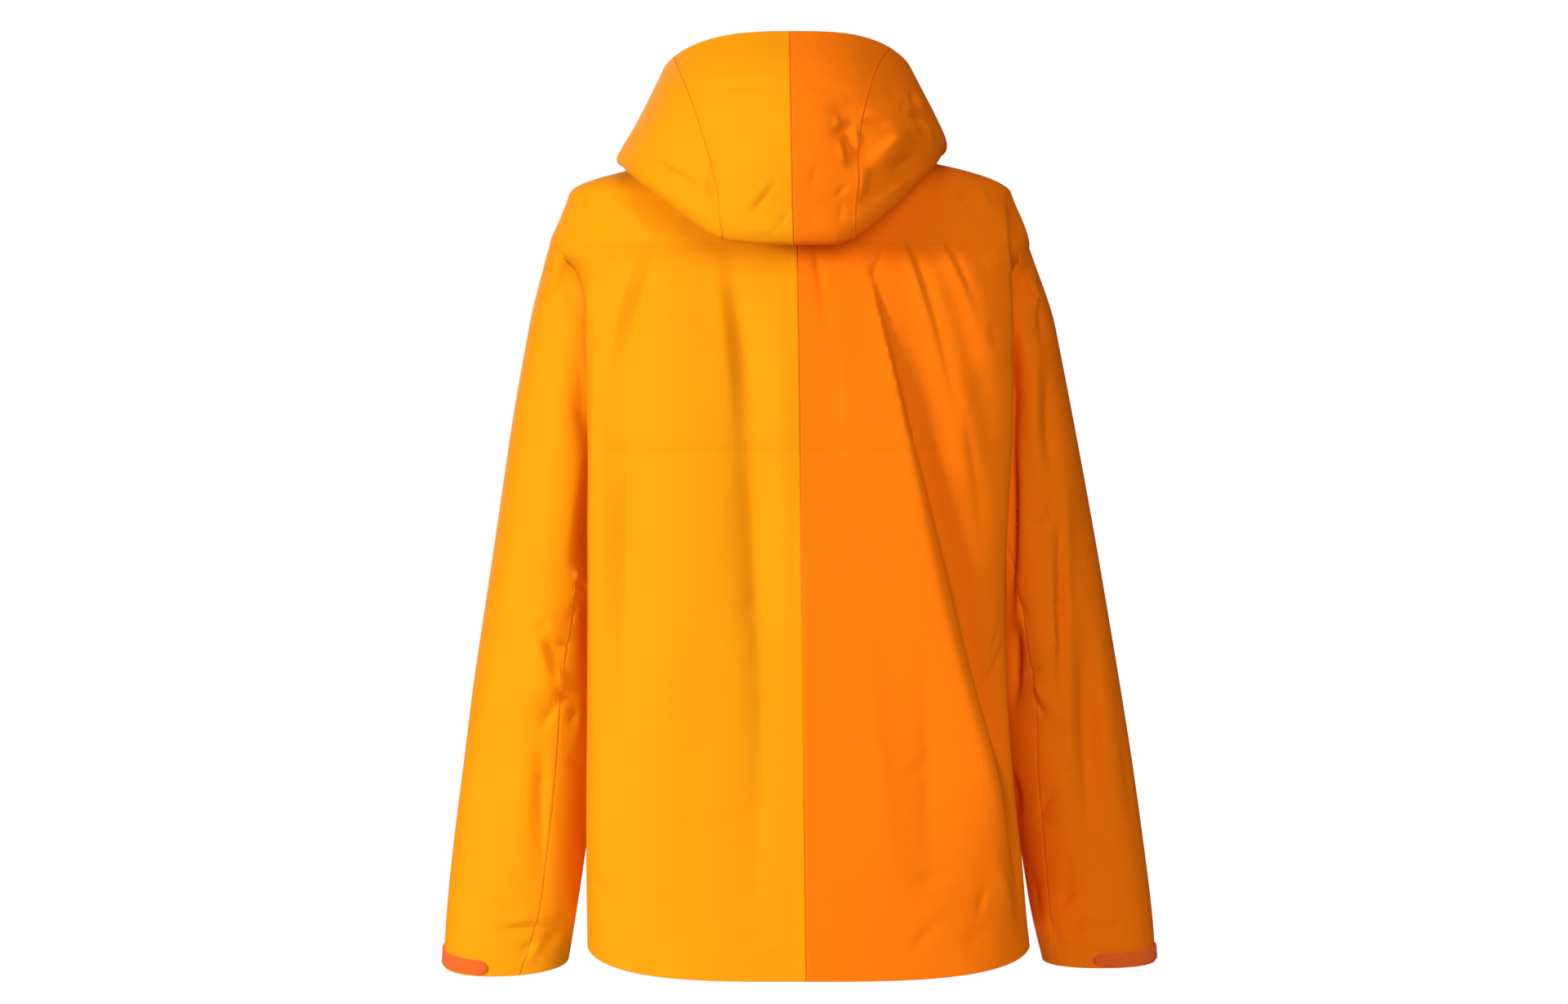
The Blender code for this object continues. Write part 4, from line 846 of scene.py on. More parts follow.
        (-266, -715, -306, -708, 1, 2.4, 3.2, 4.0, 1.3, 0.4),
        (-300, -726, -312, -703, 0, -2.2, 3.2, 3.2, 1.4, 0.4),
        (-223, -660, -232, -729, 0, -3.0, 4.8, 4.0, 1.2, 0.5),
        (-238, -706, -252, -745, 0, -2.2, 3.2, 4.0, 1.2, 0.5),
    ),
    "hood_left": (
        (92, 64, 7, 63, 1, -1.5, 4.0, 2.4, 1.1, 0.5),
        (89, 73, 10, 73, 1, 0.9, 3.2, 4.8, 1.1, 0.5),
        (56, 22, 7, 31, -2, -1.3, 3.2, 4.0, 1.4, 0.5),
        (102, 46, 92, 29, 0, -1.3, 2.4, 3.2, 1.3, 0.5),
        (89, 53, 56, 58, 1, -0.8, 3.2, 3.2, 1.3, 0.5),
        (16, -24, 45, -60, 1, -3.1, 3.2, 1.4, 1.3, 0.55),
        (23, -20, 51, -51, 1, 1.7, 2.4, 5.6, 1.3, 0.4),
        (6, -54, 19, -71, 1, -2.0, 3.2, 1.9, 1.4, 0.4),
        (15, -71, 26, -72, 0, -1.1, 2.4, 2.4, 1.2, 0.4),
        (132, -4, 84, -39, -1, -2.9, 9, 3.4, 1.1, 0.5),
        (138, 5, 93, -24, -1, 1.8, 4, 12, 1.1, 0.5),
        (81, -18, 72, -59, 0, -2.4, 2.4, 3.2, 1.4, 0.45),
        (87, -12, 83, -51, 0, 1.3, 4.8, 2.4, 1.2, 0.4),
        (71, -54, 52, -51, 0, 0.9, 3.2, 3.2, 1.2, 0.4),
        (130, 52, 122, 7, -2, 1.1, 8, 9, 1.3, 0.4),
        (107, 29, 110, -5, 0, -1.1, 4.0, 4.8, 1.2, 0.4),
        (56, -71, 10, -72, 1, 1.0, 2.4, 2.4, 1.2, 0.5),
    ),
    "hood_right": (
        (-7, 64, -57, 61, -1, -1.6, 4.0, 3.2, 1.2, 0.5),
        (-7, 52, -56, 49, -1, 1.1, 3.2, 4.8, 1.2, 0.5),
        (-53, 32, -28, 17, 2, -3.0, 3.2, 2.4, 1.3, 0.4),
        (-44, 23, -50, -8, 0, -3.0, 2.4, 2.4, 1.1, 0.3),
        (-41, 32, -32, 28, 0, 2.2, 2.4, 3.2, 1.3, 0.4),
        (-37, 14, -44, -14, 1, 2.8, 4.0, 2.4, 1.3, 0.4),
        (-53, 28, -56, 2, 0, 2.5, 2.4, 2.4, 1.2, 0.4),
        (-57, 31, -90, 28, 1, -3.8, 3.2, 2.4, 1.3, 0.4),
        (-60, 37, -93, 35, 1, 1.9, 2.4, 4.0, 1.2, 0.4),
        (-98, 23, -62, -12, -1, 6.9, 3.0, 14, 1.2, 0.3),
        (-114, 2, -83, -32, -1, -6.3, 12, 10, 1.2, 0.4),
        (-62, -11, -57, -57, 0, 4.1, 12, 5, 1.2, 0.35),
        (-69, -14, -65, -54, 0, -2.2, 5, 10, 1.3, 0.4),
        (-127, 5, -99, 22, 1, -3.6, 3.2, 2.4, 1.3, 0.5),
        (-110, -27, -75, -54, -1, 2.8, 4.8, 4.8, 1.2, 0.5),
        (-105, 64, -114, 46, 0, -3.6, 2.1, 2.7, 1.4, 0.4),
        (-110, 64, -120, 43, 0, 2.5, 2.1, 2.4, 1.4, 0.4),
        (-102, 43, -124, 29, 1, -3.8, 2.4, 2.4, 1.4, 0.4),
        (-114, 40, -129, 10, 1, 3.0, 2.4, 2.7, 1.3, 0.4),
        (-101, 31, -116, 22, 1, 2.5, 2.4, 2.4, 1.3, 0.4),
        (-102, 55, -95, 37, 0, -1.9, 2.4, 3.2, 1.3, 0.4),
        (-86, 70, -92, 44, 0, -1.2, 3.2, 4.0, 1.3, 0.4),
        (-35, -38, -48, -29, 0, -1.9, 1.9, 2.4, 1.3, 0.4),
        (-56, -48, -68, -38, 0, -1.9, 1.9, 2.4, 1.3, 0.4),
        (-41, -45, -38, -66, 1, -1.2, 3.2, 2.4, 1.3, 0.4),
        (-2, -54, -28, -71, -1, -1.4, 3.2, 4.0, 1.3, 0.4),
        (-19, -8, -11, -38, 0, -1.4, 4.0, 4.8, 1.3, 0.4),
    ),
    "front_left": (
        (150, -105, 112, -215, 6, -3.4, 3, 9, 1.8, 0.3),
        (164, -150, 150, -300, -4, 2.6, 9, 3, 1.6, 0.3),
        (40, -120, 58, -330, 4, -2.2, 8, 12, 1.5, 0.4),
        (60, -400, 84, -640, 3, 2.4, 14, 6, 1.4, 0.4),
        (72, -420, 96, -650, 3, -2.4, 4, 14, 1.4, 0.5),
        (148, -430, 120, -560, 5, -2.0, 4, 9, 1.5, 0.4),
        (20, -655, 62, -684, 3, -1.3, 3, 5, 1.5, 0.4),
        (120, -660, 158, -690, -3, 1.2, 4, 5, 1.4, 0.4),
        (30, -250, 24, -420, 2, 1.4, 9, 9, 1.3, 0.4),
    ),
    "front_right": (
        (-146, -108, -108, -225, -6, -3.6, 9, 3, 1.8, 0.3),
        (-160, -150, -146, -310, 4, 2.6, 3, 9, 1.6, 0.3),
        (-44, -140, -56, -350, -3, -2.2, 12, 8, 1.5, 0.4),
        (-66, -380, -92, -640, -3, 2.4, 6, 14, 1.4, 0.4),
        (-78, -400, -104, -650, -3, -2.6, 14, 4, 1.4, 0.5),
        (-150, -400, -116, -545, -5, -2.0, 9, 4, 1.5, 0.4),
        (-24, -665, -66, -688, -3, -1.3, 5, 3, 1.5, 0.4),
        (-110, -640, -150, -676, 3, 1.2, 5, 4, 1.4, 0.4),
    ),
    "sleeve_left_front": (
        (216, -104, 196, -96, 1, -2.6, 4, 4, 1.4, 0.3),
        (206, -120, 222, -190, 3, -3.0, 3, 6, 1.8, 0.4),
        (228, -130, 240, -230, -3, 2.2, 6, 4, 1.8, 0.4),
        (262, -428, 226, -446, -3, -3.6, 3, 5, 1.4, 0.3),
        (224, -452, 258, -478, 2, 2.2, 4, 5, 1.5, 0.4),
        (268, -480, 232, -500, -2, -2.8, 3, 5, 1.5, 0.4),
        (300, -560, 306, -690, 3, -2.0, 7, 9, 1.4, 0.4),
        (290, -704, 250, -726, -3, -1.9, 4, 4, 1.4, 0.4),
        (240, -640, 262, -700, 2, 1.5, 6, 6, 1.4, 0.4),
        (196, -420, 204, -500, 0, -2.4, 5, 6, 1.3, 0.4),
    ),
    "sleeve_right_front": (
        (-214, -106, -194, -98, -1, -2.6, 4, 4, 1.4, 0.3),
        (-206, -122, -222, -196, -3, -3.0, 6, 3, 1.8, 0.4),
        (-228, -134, -242, -236, 3, 2.2, 4, 6, 1.8, 0.4),
        (-264, -436, -228, -452, 3, -3.4, 5, 3, 1.4, 0.3),
        (-226, -458, -260, -486, -2, 2.2, 5, 4, 1.5, 0.4),
        (-270, -492, -236, -512, 2, -2.8, 5, 3, 1.5, 0.4),
        (-302, -570, -308, -692, -3, -2.0, 9, 7, 1.4, 0.4),
        (-292, -700, -254, -722, 3, -1.9, 4, 4, 1.4, 0.4),
        (-198, -430, -206, -510, 0, -2.4, 6, 5, 1.3, 0.4),
    ),
}
CREASE_RUN_OUT = 0.06       # share of its length over which a crease runs on past its ends
CREASE_FALL = 1.5           # power by which it falls away sideways; 2 would be rounder, 1 a sharp tip


def crease_height(creases, x, z):
    """How far the creases of a table stand out at a place seen square from behind or in front."""
    total = np.zeros(np.broadcast(x, z).shape)
    for crease in (Crease(*row) for row in creases):
        run_x = (crease.x_end - crease.x_start) * MM
        run_z = (crease.z_end - crease.z_start) * MM
        length = math.hypot(run_x, run_z)
        from_x, from_z = x - crease.x_start * MM, z - crease.z_start * MM
        t = (from_x * run_x + from_z * run_z) / length ** 2
        aside = (from_x * run_z - from_z * run_x) / length - crease.bend * MM * 4 * t * (1 - t)
        width = np.where(aside < 0, crease.right_hand, crease.left_hand) * MM
        width = width * (1 + (crease.spread - 1) * np.clip(t, 0, 1))
        along = (soft_step(t, -CREASE_RUN_OUT, crease.peak)
                 * (1 - soft_step(t, crease.peak, 1 + CREASE_RUN_OUT)))
        total = total + crease.height * MM * np.exp(-np.abs(aside / width) ** CREASE_FALL) * along
    return total


print("hand-placed creases", sum(len(rows) for rows in CREASES.values()))

# %% [markdown]
# One function per kind of panel gives the outer points of its cloth and the way they face: the
# form, plus the creases of that side. The wall and everything sewn on are made from these points.

# %% From panel places to creased points
FACING = (0.1, 0.6)             # how squarely cloth must face back or front to be creased
LEFT_SHOULDER_PRESS = (         # depth below the neck and how far the left shoulder is pressed in, in mm
    (16, 0), (34, 3.4), (52, 5.0), (66, 3.2), (77, 0.6), (80, 0))
SHOULDER_SPAN = (0.150, 0.215)  # distances from the middle over which that press comes in
SLEEVE_CREASES_BEGIN = (0.0, 0.5)       # rings


def body_cloth(side, panel):
    """Outer points and normals of a back or front panel."""
    rear = panel is back_panel
    creases = CREASES[("back_" if rear else "front_") + WORDS[side]]

    def place(u, v):
        turn, level = panel(side, u, v)
        point = body_surface(side, turn, level)
        normal = normals_of(body_surface, side, turn, level)
        facing = soft_step(normal[..., 1] * (1 if rear else -1), *FACING)
        lift = facing * crease_height(creases, point[..., 0], point[..., 2])
        point = point + lift[..., None] * normal
        if side == LEFT:
            press = np.interp(-point[..., 2] / MM, *zip(*LEFT_SHOULDER_PRESS)) * MM
            point[..., 0] -= press * soft_step(np.abs(point[..., 0]), *SHOULDER_SPAN)
        return point, normal
    return place


def creased_sleeve(side, around, ring):
    """A point of the sleeve with its creases, and the way it faces."""
    point = sleeve_surface(side, around, ring)
    normal = sleeve_normals(side, around, ring, sleeve_surface)
    x, z = point[..., 0], point[..., 2]
    rear = crease_height(CREASES["sleeve_" + WORDS[side] + "_rear"], x, z)
    front = crease_height(CREASES["sleeve_" + WORDS[side] + "_front"], x, z)
    lift = soft_step(normal[..., 1], *FACING) * rear + soft_step(-normal[..., 1], *FACING) * front
    lift = lift * soft_step(ring, *SLEEVE_CREASES_BEGIN)
    return point + lift[..., None] * normal, normal


def sleeve_cloth(side):
    """Outer points and normals of a sleeve."""
    return lambda u, v: creased_sleeve(side, *sleeve_sheet(side, u, v))


HOOD_ROLL = 0.010               # how far the cloth stands out behind the bottom fold
HOOD_CREASES_BEGIN = (3.6, 4.6)     # rings; ring 4 is the bottom fold
HOOD_FACING = (-0.2, 0.3)
ROLL_BEGINS, ROLL_ENDS, ROLL_TURN = (3.9, 4.35), (4.5, 5.4), (0.75, 1.25)      # rings, rings, radians
RISE_BEGINS, RISE_ENDS, RISE_FACING = (2.4, 3.8), (4.4, 6.4), (0.0, 0.25)      # rings, rings, cosine
HOOD_CORNERS = {                # distance from the middle and rise of the bottom fold there, in mm
    LEFT: ((0, 2.0), (60, 2.4), (72, 3.4), (83, 6.8), (94, 10.2), (105, 13.8), (117, 15.2), (128, 15.4),
           (139, 13.4), (150, 9.6), (160, 5.0), (170, 3.0)),
    RIGHT: ((0, 2.0), (38, 1.8), (50, 4.4), (64, 9.4), (75, 14.0), (86, 16.6), (98, 17.2), (108, 17.4),
            (120, 14.6), (130, 8.0), (140, 4.0)),
}


def hood_cloth(side, panel):
    """Outer points and normals of a hood panel; the creases lie on the outside of the pouch."""
    creases = CREASES["hood_" + WORDS[side]]

    def place(u, v):
        turn, ring = panel(side, u, v)
        point = hood_surface(side, turn, ring)
        normal = normals_of(hood_surface, side, turn, ring)
        outer = soft_step(ring, *HOOD_CREASES_BEGIN) * soft_step(normal[..., 1], *HOOD_FACING)
        lift = outer * crease_height(creases, point[..., 0], point[..., 2])
        point = point + lift[..., None] * normal
        rolled = soft_step(ring, *ROLL_BEGINS) * (1 - soft_step(ring, *ROLL_ENDS))
        point[..., 1] += HOOD_ROLL * rolled * (1 - soft_step(np.abs(turn), *ROLL_TURN))
        rise = np.interp(np.abs(point[..., 0]) / MM, *zip(*HOOD_CORNERS[side])) * MM
        raised = soft_step(ring, *RISE_BEGINS) * (1 - soft_step(ring, *RISE_ENDS))
        point[..., 2] += rise * raised * soft_step(np.cos(turn), *RISE_FACING)
        return point, normal
    return place


print("hood corners", {word: len(HOOD_CORNERS[side]) for side, word in WORDS.items()})

# %% [markdown]
# A seam is two cut edges turned in and sewn. On the panel that laps over, the turned-in cloth makes
# a low raised band beside the seam. The other panel runs on a little way under it. A hem is rolled
# in. A coated zip tape has a rounded lip, and a narrow tape is simply cut. The grid lines of a sheet
# crowd together at its edges, so that these shapes are really there.

# %% Edges and grid lines
EDGES = {       # for each kind of edge: distance from the cut edge and height of the cloth, in mm
    "lap": ((0.0, -0.50), (0.2, -0.14), (0.6, 0.03), (1.6, 0.12), (2.6, 0.12), (3.8, 0.04), (5.0, 0.0)),
    "tuck": ((0.0, -0.60), (0.3, -0.48), (0.9, -0.20), (1.8, -0.04), (3.2, 0.0)),
    "under": ((-1.6, -1.40), (-0.25, -1.35), (0.15, -0.75), (0.5, -0.35), (1.0, -0.15), (1.9, -0.03),
              (3.2, 0.0)),
    "lip": ((0.0, -0.30), (0.1, 0.20), (0.35, 0.45), (0.8, 0.58), (1.5, 0.60), (2.2, 0.50), (2.8, 0.20),
            (3.3, 0.0)),
    "cut": ((0.0, -0.50), (0.15, -0.15), (0.5, 0.0)),
    "hem": ((0.0, -0.90), (0.12, -0.50), (0.4, -0.18), (0.9, -0.02), (2.0, 0.0)),
}


def grid_lines(length, step, low, high):
    """Places from 0 to 1 across a panel of this length, and the height of the cloth at each."""
    near = [(d * MM, h * MM) for d, h in EDGES[low]]
    far = [(length - d * MM, h * MM) for d, h in reversed(EDGES[high])]
    count = max(2, round((far[0][0] - near[-1][0]) / step))
    inner = np.linspace(near[-1][0], far[0][0], count + 1)[1:-1]
    distance = np.concatenate([[d for d, _ in near], inner, [d for d, _ in far]])
    height = np.concatenate([[h for _, h in near], 0 * inner, [h for _, h in far]])
    return distance / length, height


print("kinds of edge", len(EDGES))

# %% [markdown]
# A cloth panel starts as one flat grid. Its vertices are moved onto the creased form, the sheet is
# extruded once, and the new layer is pushed inwards by the cloth's thickness. That gives a thin
# closed wall with a real edge, and a UV map in metres of cloth, so that a weave lies straight.

# %% Cloth panels
CLOTH_WALL = 0.0011         # three-layer shell cloth with its turned-in edges


def link_object(name, shape, finish, smooth_angle=50.0):
    """A finished mesh as an object at the origin, smooth but for its sharp edges."""
    mesh = bpy.data.meshes.new(name)
    shape.to_mesh(mesh)
    shape.free()
    mesh.materials.append(finish)
    mesh.shade_smooth()
    mesh.set_sharp_from_angle(angle=math.radians(smooth_angle))
    made = bpy.data.objects.new(name, mesh)
    bpy.context.scene.collection.objects.link(made)
    return made


def cloth_panel(name, size, step, place, edges, finish, wall=CLOTH_WALL):
    """A sheet of size and cell (across, up) in metres on place(u, v), with its four kinds of edge."""
    us, rise_u = grid_lines(size[0], step[0], edges[0], edges[1])
    vs, rise_v = grid_lines(size[1], step[1], edges[2], edges[3])
    shape = bmesh.new()
    inward = shape.verts.layers.float_vector.new("inward")
    bmesh.ops.create_grid(shape, x_segments=len(us) - 1, y_segments=len(vs) - 1, size=0.5)
    column = np.array([round((vert.co.x + 0.5) * (len(us) - 1)) for vert in shape.verts])
    row = np.array([round((vert.co.y + 0.5) * (len(vs) - 1)) for vert in shape.verts])
    points, normals = place(us[column], vs[row])
    rise = np.where(rise_u[column] * rise_v[row] > 0, np.maximum(rise_u[column], rise_v[row]),
                    rise_u[column] + rise_v[row])
    points = points + rise[:, None] * normals
    uv = shape.loops.layers.uv.new("cloth_metres")
    for face in shape.faces:
        for loop in face.loops:
            at = loop.vert.index
            loop[uv].uv = (us[column[at]] * size[0], vs[row[at]] * size[1])
    for vert, point, normal in zip(shape.verts, points, normals):
        vert.co = point
        vert[inward] = -wall * normal
    grown = bmesh.ops.extrude_face_region(shape, geom=shape.faces[:])
    for part in grown["geom"]:
        if isinstance(part, bmesh.types.BMVert):
            part.co += part[inward]
    bmesh.ops.recalc_face_normals(shape, faces=shape.faces[:])
    area = sum(face.calc_area() for face in shape.faces) / 2
    triangles = sum(len(face.verts) - 2 for face in shape.faces)
    print(name, "cloth", round(area, 3), "m2,", triangles, "triangles")
    return link_object(name, shape, finish)


print("cloth wall", CLOTH_WALL)

# %% [markdown]
# The shell cloth is a matt, densely woven face on a membrane. It gives the eye an even, bright
# colour with almost no shine, a very fine grain, and shallow cockles where the stiff layers buckle.
# The real threads are 0.25 mm apart. They are drawn 0.8 mm apart, so that they don't shimmer.

# %% The shell cloth
THREAD_SPACING = 0.0008         # as drawn
SLUB = (0.009, 0.0012)          # a thicker stretch of thread, along and across
COCKLE_DEPTH = 0.0009


def new_material(name):
    """A material with an empty tree but for its shader and output."""
    made = bpy.data.materials.new(name)
    made.use_nodes = True
    made.node_tree.nodes.clear()
    shader = add_node(made.node_tree, "ShaderNodeBsdfPrincipled")
    add_node(made.node_tree, "ShaderNodeOutputMaterial", links={"Surface": shader.outputs[0]})
    return made, made.node_tree, shader


def cloth_places(tree, across, up):
    """The piece's own cloth coordinates in metres, as cells of this size."""
    places = add_node(tree, "ShaderNodeUVMap", {"uv_map": "cloth_metres"})
    return add_node(tree, "ShaderNodeMapping", values={"Scale": (1 / across, 1 / up, 1)},
                    links={"Vector": places.outputs[0]}).outputs[0]


def cloth_wave(tree, places, axis):
    """A sine along one direction of the cloth, one period to a cell."""
    split = add_node(tree, "ShaderNodeSeparateXYZ", links={0: places})
    turns = add_node(tree, "ShaderNodeMath", {"operation": "MULTIPLY"}, {1: 2 * math.pi},
                     {0: split.outputs[axis]})
    return add_node(tree, "ShaderNodeMath", {"operation": "SINE"}, links={0: turns.outputs[0]}).outputs[0]


def mixed_colours(tree, amount, first, second):
    """Two colours mixed by an amount from 0 to 1."""
    mix = add_node(tree, "ShaderNodeMix", {"data_type": "RGBA"}, links={0: amount})
    mix.inputs[6].default_value = hex_colour(first)
    mix.inputs[7].default_value = hex_colour(second)
    return mix.outputs[2]


def shell_cloth(name, light, deep):
    """The matt three-layer cloth: weave, slubs and cockles, each as a bump on the last."""
    made, tree, shader = new_material(name)
    solid = add_node(tree, "ShaderNodeTexCoord").outputs["Object"]
    tone = add_node(tree, "ShaderNodeTexNoise", values={"Scale": 9.0, "Detail": 2.0}, links={"Vector": solid})
    colour = mixed_colours(tree, tone.outputs[0], light, deep)
    weave = cloth_places(tree, THREAD_SPACING, THREAD_SPACING)
    threads = add_node(tree, "ShaderNodeMath", {"operation": "MULTIPLY"},
                       links={0: cloth_wave(tree, weave, 0), 1: cloth_wave(tree, weave, 1)})
    slub = add_node(tree, "ShaderNodeTexNoise", values={"Scale": 1.0, "Detail": 2.0},
                    links={"Vector": cloth_places(tree, *SLUB)})
    grain = add_node(tree, "ShaderNodeBump", values={"Strength": 0.5, "Distance": 0.00006},
                     links={"Height": threads.outputs[0]})
    streaks = add_node(tree, "ShaderNodeBump", values={"Strength": 0.5, "Distance": 0.00012},
                       links={"Height": slub.outputs[0], "Normal": grain.outputs[0]})
    cockle = add_node(tree, "ShaderNodeTexNoise", values={"Scale": 34.0, "Detail": 2.0, "Distortion": 0.4},
                      links={"Vector": solid})
    buckle = add_node(tree, "ShaderNodeBump", values={"Strength": 1.0, "Distance": COCKLE_DEPTH},
                      links={"Height": cockle.outputs[0], "Normal": streaks.outputs[0]})
    tree.links.new(colour, shader.inputs["Base Color"])
    tree.links.new(buckle.outputs[0], shader.inputs["Normal"])
    shader.inputs["Roughness"].default_value = 0.72
    shader.inputs["Specular IOR Level"].default_value = 0.05
    return made


amber_cloth = shell_cloth("amber_shell_cloth", "F09708", "EE9307")
orange_cloth = shell_cloth("orange_shell_cloth", "F67706", "F47305")
CLOTH = {LEFT: amber_cloth, RIGHT: orange_cloth}
print("shell cloths", amber_cloth.name, orange_cloth.name)

# %% [markdown]
# The small materials. Polyester thread is a little glossier than the cloth and takes its colour.
# The cuff straps are loop tape, with a fine rib along its length under a short fuzzy nap. The zip
# tapes carry a thin coating that lets the rib of the coil show. The metal is zinc under lacquer.

# %% Thread, loop tape, coated tape and metal
STRAP_RIB = 0.0016              # spacing of the strap's ribs
COIL_PITCH = 0.0015             # spacing of the coil's turns


def object_noise(tree, scale, detail):
    """Noise fixed to the piece; a scale of 1000 is about a millimetre."""
    solid = add_node(tree, "ShaderNodeTexCoord").outputs["Object"]
    return add_node(tree, "ShaderNodeTexNoise", values={"Scale": scale, "Detail": detail},
                    links={"Vector": solid})


def thread_finish(name, light, deep):
    """Twisted polyester thread."""
    made, tree, shader = new_material(name)
    twist = object_noise(tree, 1800.0, 1.0)
    tree.links.new(mixed_colours(tree, twist.outputs[0], light, deep), shader.inputs["Base Color"])
    shader.inputs["Roughness"].default_value = 0.5
    return made


def loop_tape(name, light, deep):
    """Knitted loop tape: ribs under a short nap."""
    made, tree, shader = new_material(name)
    nap = object_noise(tree, 1500.0, 3.0)
    rib = cloth_wave(tree, cloth_places(tree, STRAP_RIB, STRAP_RIB), 1)
    fuzz = add_node(tree, "ShaderNodeBump", values={"Strength": 0.8, "Distance": 0.0003},
                    links={"Height": nap.outputs[0]})
    ribs = add_node(tree, "ShaderNodeBump", values={"Strength": 0.7, "Distance": 0.00025},
                    links={"Height": rib, "Normal": fuzz.outputs[0]})
    tree.links.new(mixed_colours(tree, nap.outputs[0], light, deep), shader.inputs["Base Color"])
    tree.links.new(ribs.outputs[0], shader.inputs["Normal"])
    shader.inputs["Roughness"].default_value = 0.95
    shader.inputs["Sheen Weight"].default_value = 0.08
    return made


def coated_tape(name, light, deep):
    """Zip tape under a thin satin coating that lets the coil show."""
    made, tree, shader = new_material(name)
    tone = object_noise(tree, 60.0, 2.0)
    coil = cloth_wave(tree, cloth_places(tree, COIL_PITCH, COIL_PITCH), 1)
    ribs = add_node(tree, "ShaderNodeBump", values={"Strength": 0.5, "Distance": 0.00012},
                    links={"Height": coil})
    tree.links.new(mixed_colours(tree, tone.outputs[0], light, deep), shader.inputs["Base Color"])
    tree.links.new(ribs.outputs[0], shader.inputs["Normal"])
    shader.inputs["Roughness"].default_value = 0.42
    return made


def lacquered_zinc(name):
    """Die-cast zinc under dark lacquer, rubbed a little uneven."""
    made, tree, shader = new_material(name)
    rubbed = object_noise(tree, 420.0, 4.0)
    rough = add_node(tree, "ShaderNodeMapRange", values={"To Min": 0.26, "To Max": 0.48},
                     links={"Value": rubbed.outputs[0]})
    skin = add_node(tree, "ShaderNodeBump", values={"Strength": 0.3, "Distance": 0.00005},
                    links={"Height": rubbed.outputs[0]})
    tree.links.new(mixed_colours(tree, rubbed.outputs[0], "2A2A2D", "3A3A3E"), shader.inputs["Base Color"])
    tree.links.new(rough.outputs[0], shader.inputs["Roughness"])
    tree.links.new(skin.outputs[0], shader.inputs["Normal"])
    shader.inputs["Metallic"].default_value = 0.75
    return made


THREAD = {LEFT: thread_finish("amber_thread", "FFC02A", "F5A90A"),
          RIGHT: thread_finish("orange_thread", "FF8A1A", "F07006")}
TAPE = {LEFT: coated_tape("amber_coated_tape", "FFB317", "F7A80C"),
        RIGHT: coated_tape("orange_coated_tape", "FF7D0C", "F37406")}
strap_tape = loop_tape("red_orange_loop_tape", "FA6A06", "DC5404")
dark_metal = lacquered_zinc("dark_lacquered_zinc")
print("materials", len(bpy.data.materials))

# %% [markdown]
# The body is two backs and two fronts. The amber back laps over the orange one at the centre seam.
# The backs lap over the fronts at the sides and shoulders, and over the sleeve heads. Hems are
# rolled in. Each panel stands in the record as its own node and takes that node's place here.

# %% Backs and fronts
sheets = {}


def put_on(piece, nodes, body="jacket"):
    """Rides a piece on its body, in place of these nodes."""
    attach(piece, body)
    if nodes:
        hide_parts(*nodes)


def add_sheet(name, node, side, size, step, place, edges):
    """A cloth panel in place of a node."""
    sheets[node] = cloth_panel(name, size, step, place, edges, CLOTH[side])
    put_on(sheets[node], [node])


BACK_SIZE = {LEFT: (0.285, 0.800), RIGHT: (0.300, 0.800)}       # across at the hem, and up
FRONT_SIZE = {LEFT: (0.200, 0.700), RIGHT: (0.215, 0.700)}
BACK_CELL, FRONT_CELL = (0.0020, 0.0038), (0.0036, 0.0050)      # across and up; finest where creased most
for side, word in WORDS.items():
    centre = "lap" if side == LEFT else "under"
    add_sheet("back_cloth_" + word, "back_" + word, side, BACK_SIZE[side], BACK_CELL,
              body_cloth(side, back_panel), (centre, "lap", "hem", "tuck"))
    add_sheet("front_cloth_" + word, "front_" + word, side, FRONT_SIZE[side], FRONT_CELL,
              body_cloth(side, front_panel), ("hem", "under", "hem", "tuck"))

# %% [markdown]
# Each sleeve is one sheet that closes on its own seam: one edge laps over the other.

# %% Sleeves
SLEEVE_SIZE, SLEEVE_CELL = (0.400, 0.620), (0.0028, 0.0036)
for side, word in WORDS.items():
    add_sheet("sleeve_cloth_" + word, "sleeve_" + word, side, SLEEVE_SIZE, SLEEVE_CELL,
              sleeve_cloth(side), ("lap", "under", "hem", "tuck"))

# %% [markdown]
# The hood's crown panels lap over its side panels, and the amber crown laps over the orange one.
# The side panels run on round the neck as the collar, to the zip.

# %% Hood
CROWN_SIZE, CROWN_CELL = (0.085, 0.440), (0.0017, 0.0022)
HOOD_SIDE_SIZE, HOOD_SIDE_CELL = (0.330, 0.300), (0.0026, 0.0024)
for side, word in WORDS.items():
    centre = "lap" if side == LEFT else "under"
    add_sheet("hood_crown_cloth_" + word, "hood_crown_" + word, side, CROWN_SIZE, CROWN_CELL,
              hood_cloth(side, crown_panel), (centre, "lap", "tuck", "hem"))
    add_sheet("hood_side_cloth_" + word, "hood_side_" + word, side, HOOD_SIDE_SIZE, HOOD_SIDE_CELL,
              hood_cloth(side, hood_side_panel), ("under", "hem", "tuck", "hem"))

# %% [markdown]
# Rows of stitches hold down the crown, armhole and sleeve seams and the cloth beside the zip and
# the collar's edge. A stitch is a short bead of thread that sinks into the cloth at both ends. Rows
# lie about 2 mm from the edge that laps over, and 3 mm from the zip.

# %% Rows of stitches
STITCH_PITCH, STITCH_LENGTH, THREAD_WIDTH = 0.0030, 0.0023, 0.00048
LAP_HEIGHT = 0.00042        # of the thread's middle over the form on a lapped edge
FROM_LAP, FROM_UNDER, FROM_ZIP = 0.0019, 0.0024, 0.0030     # rows' distances from their edges


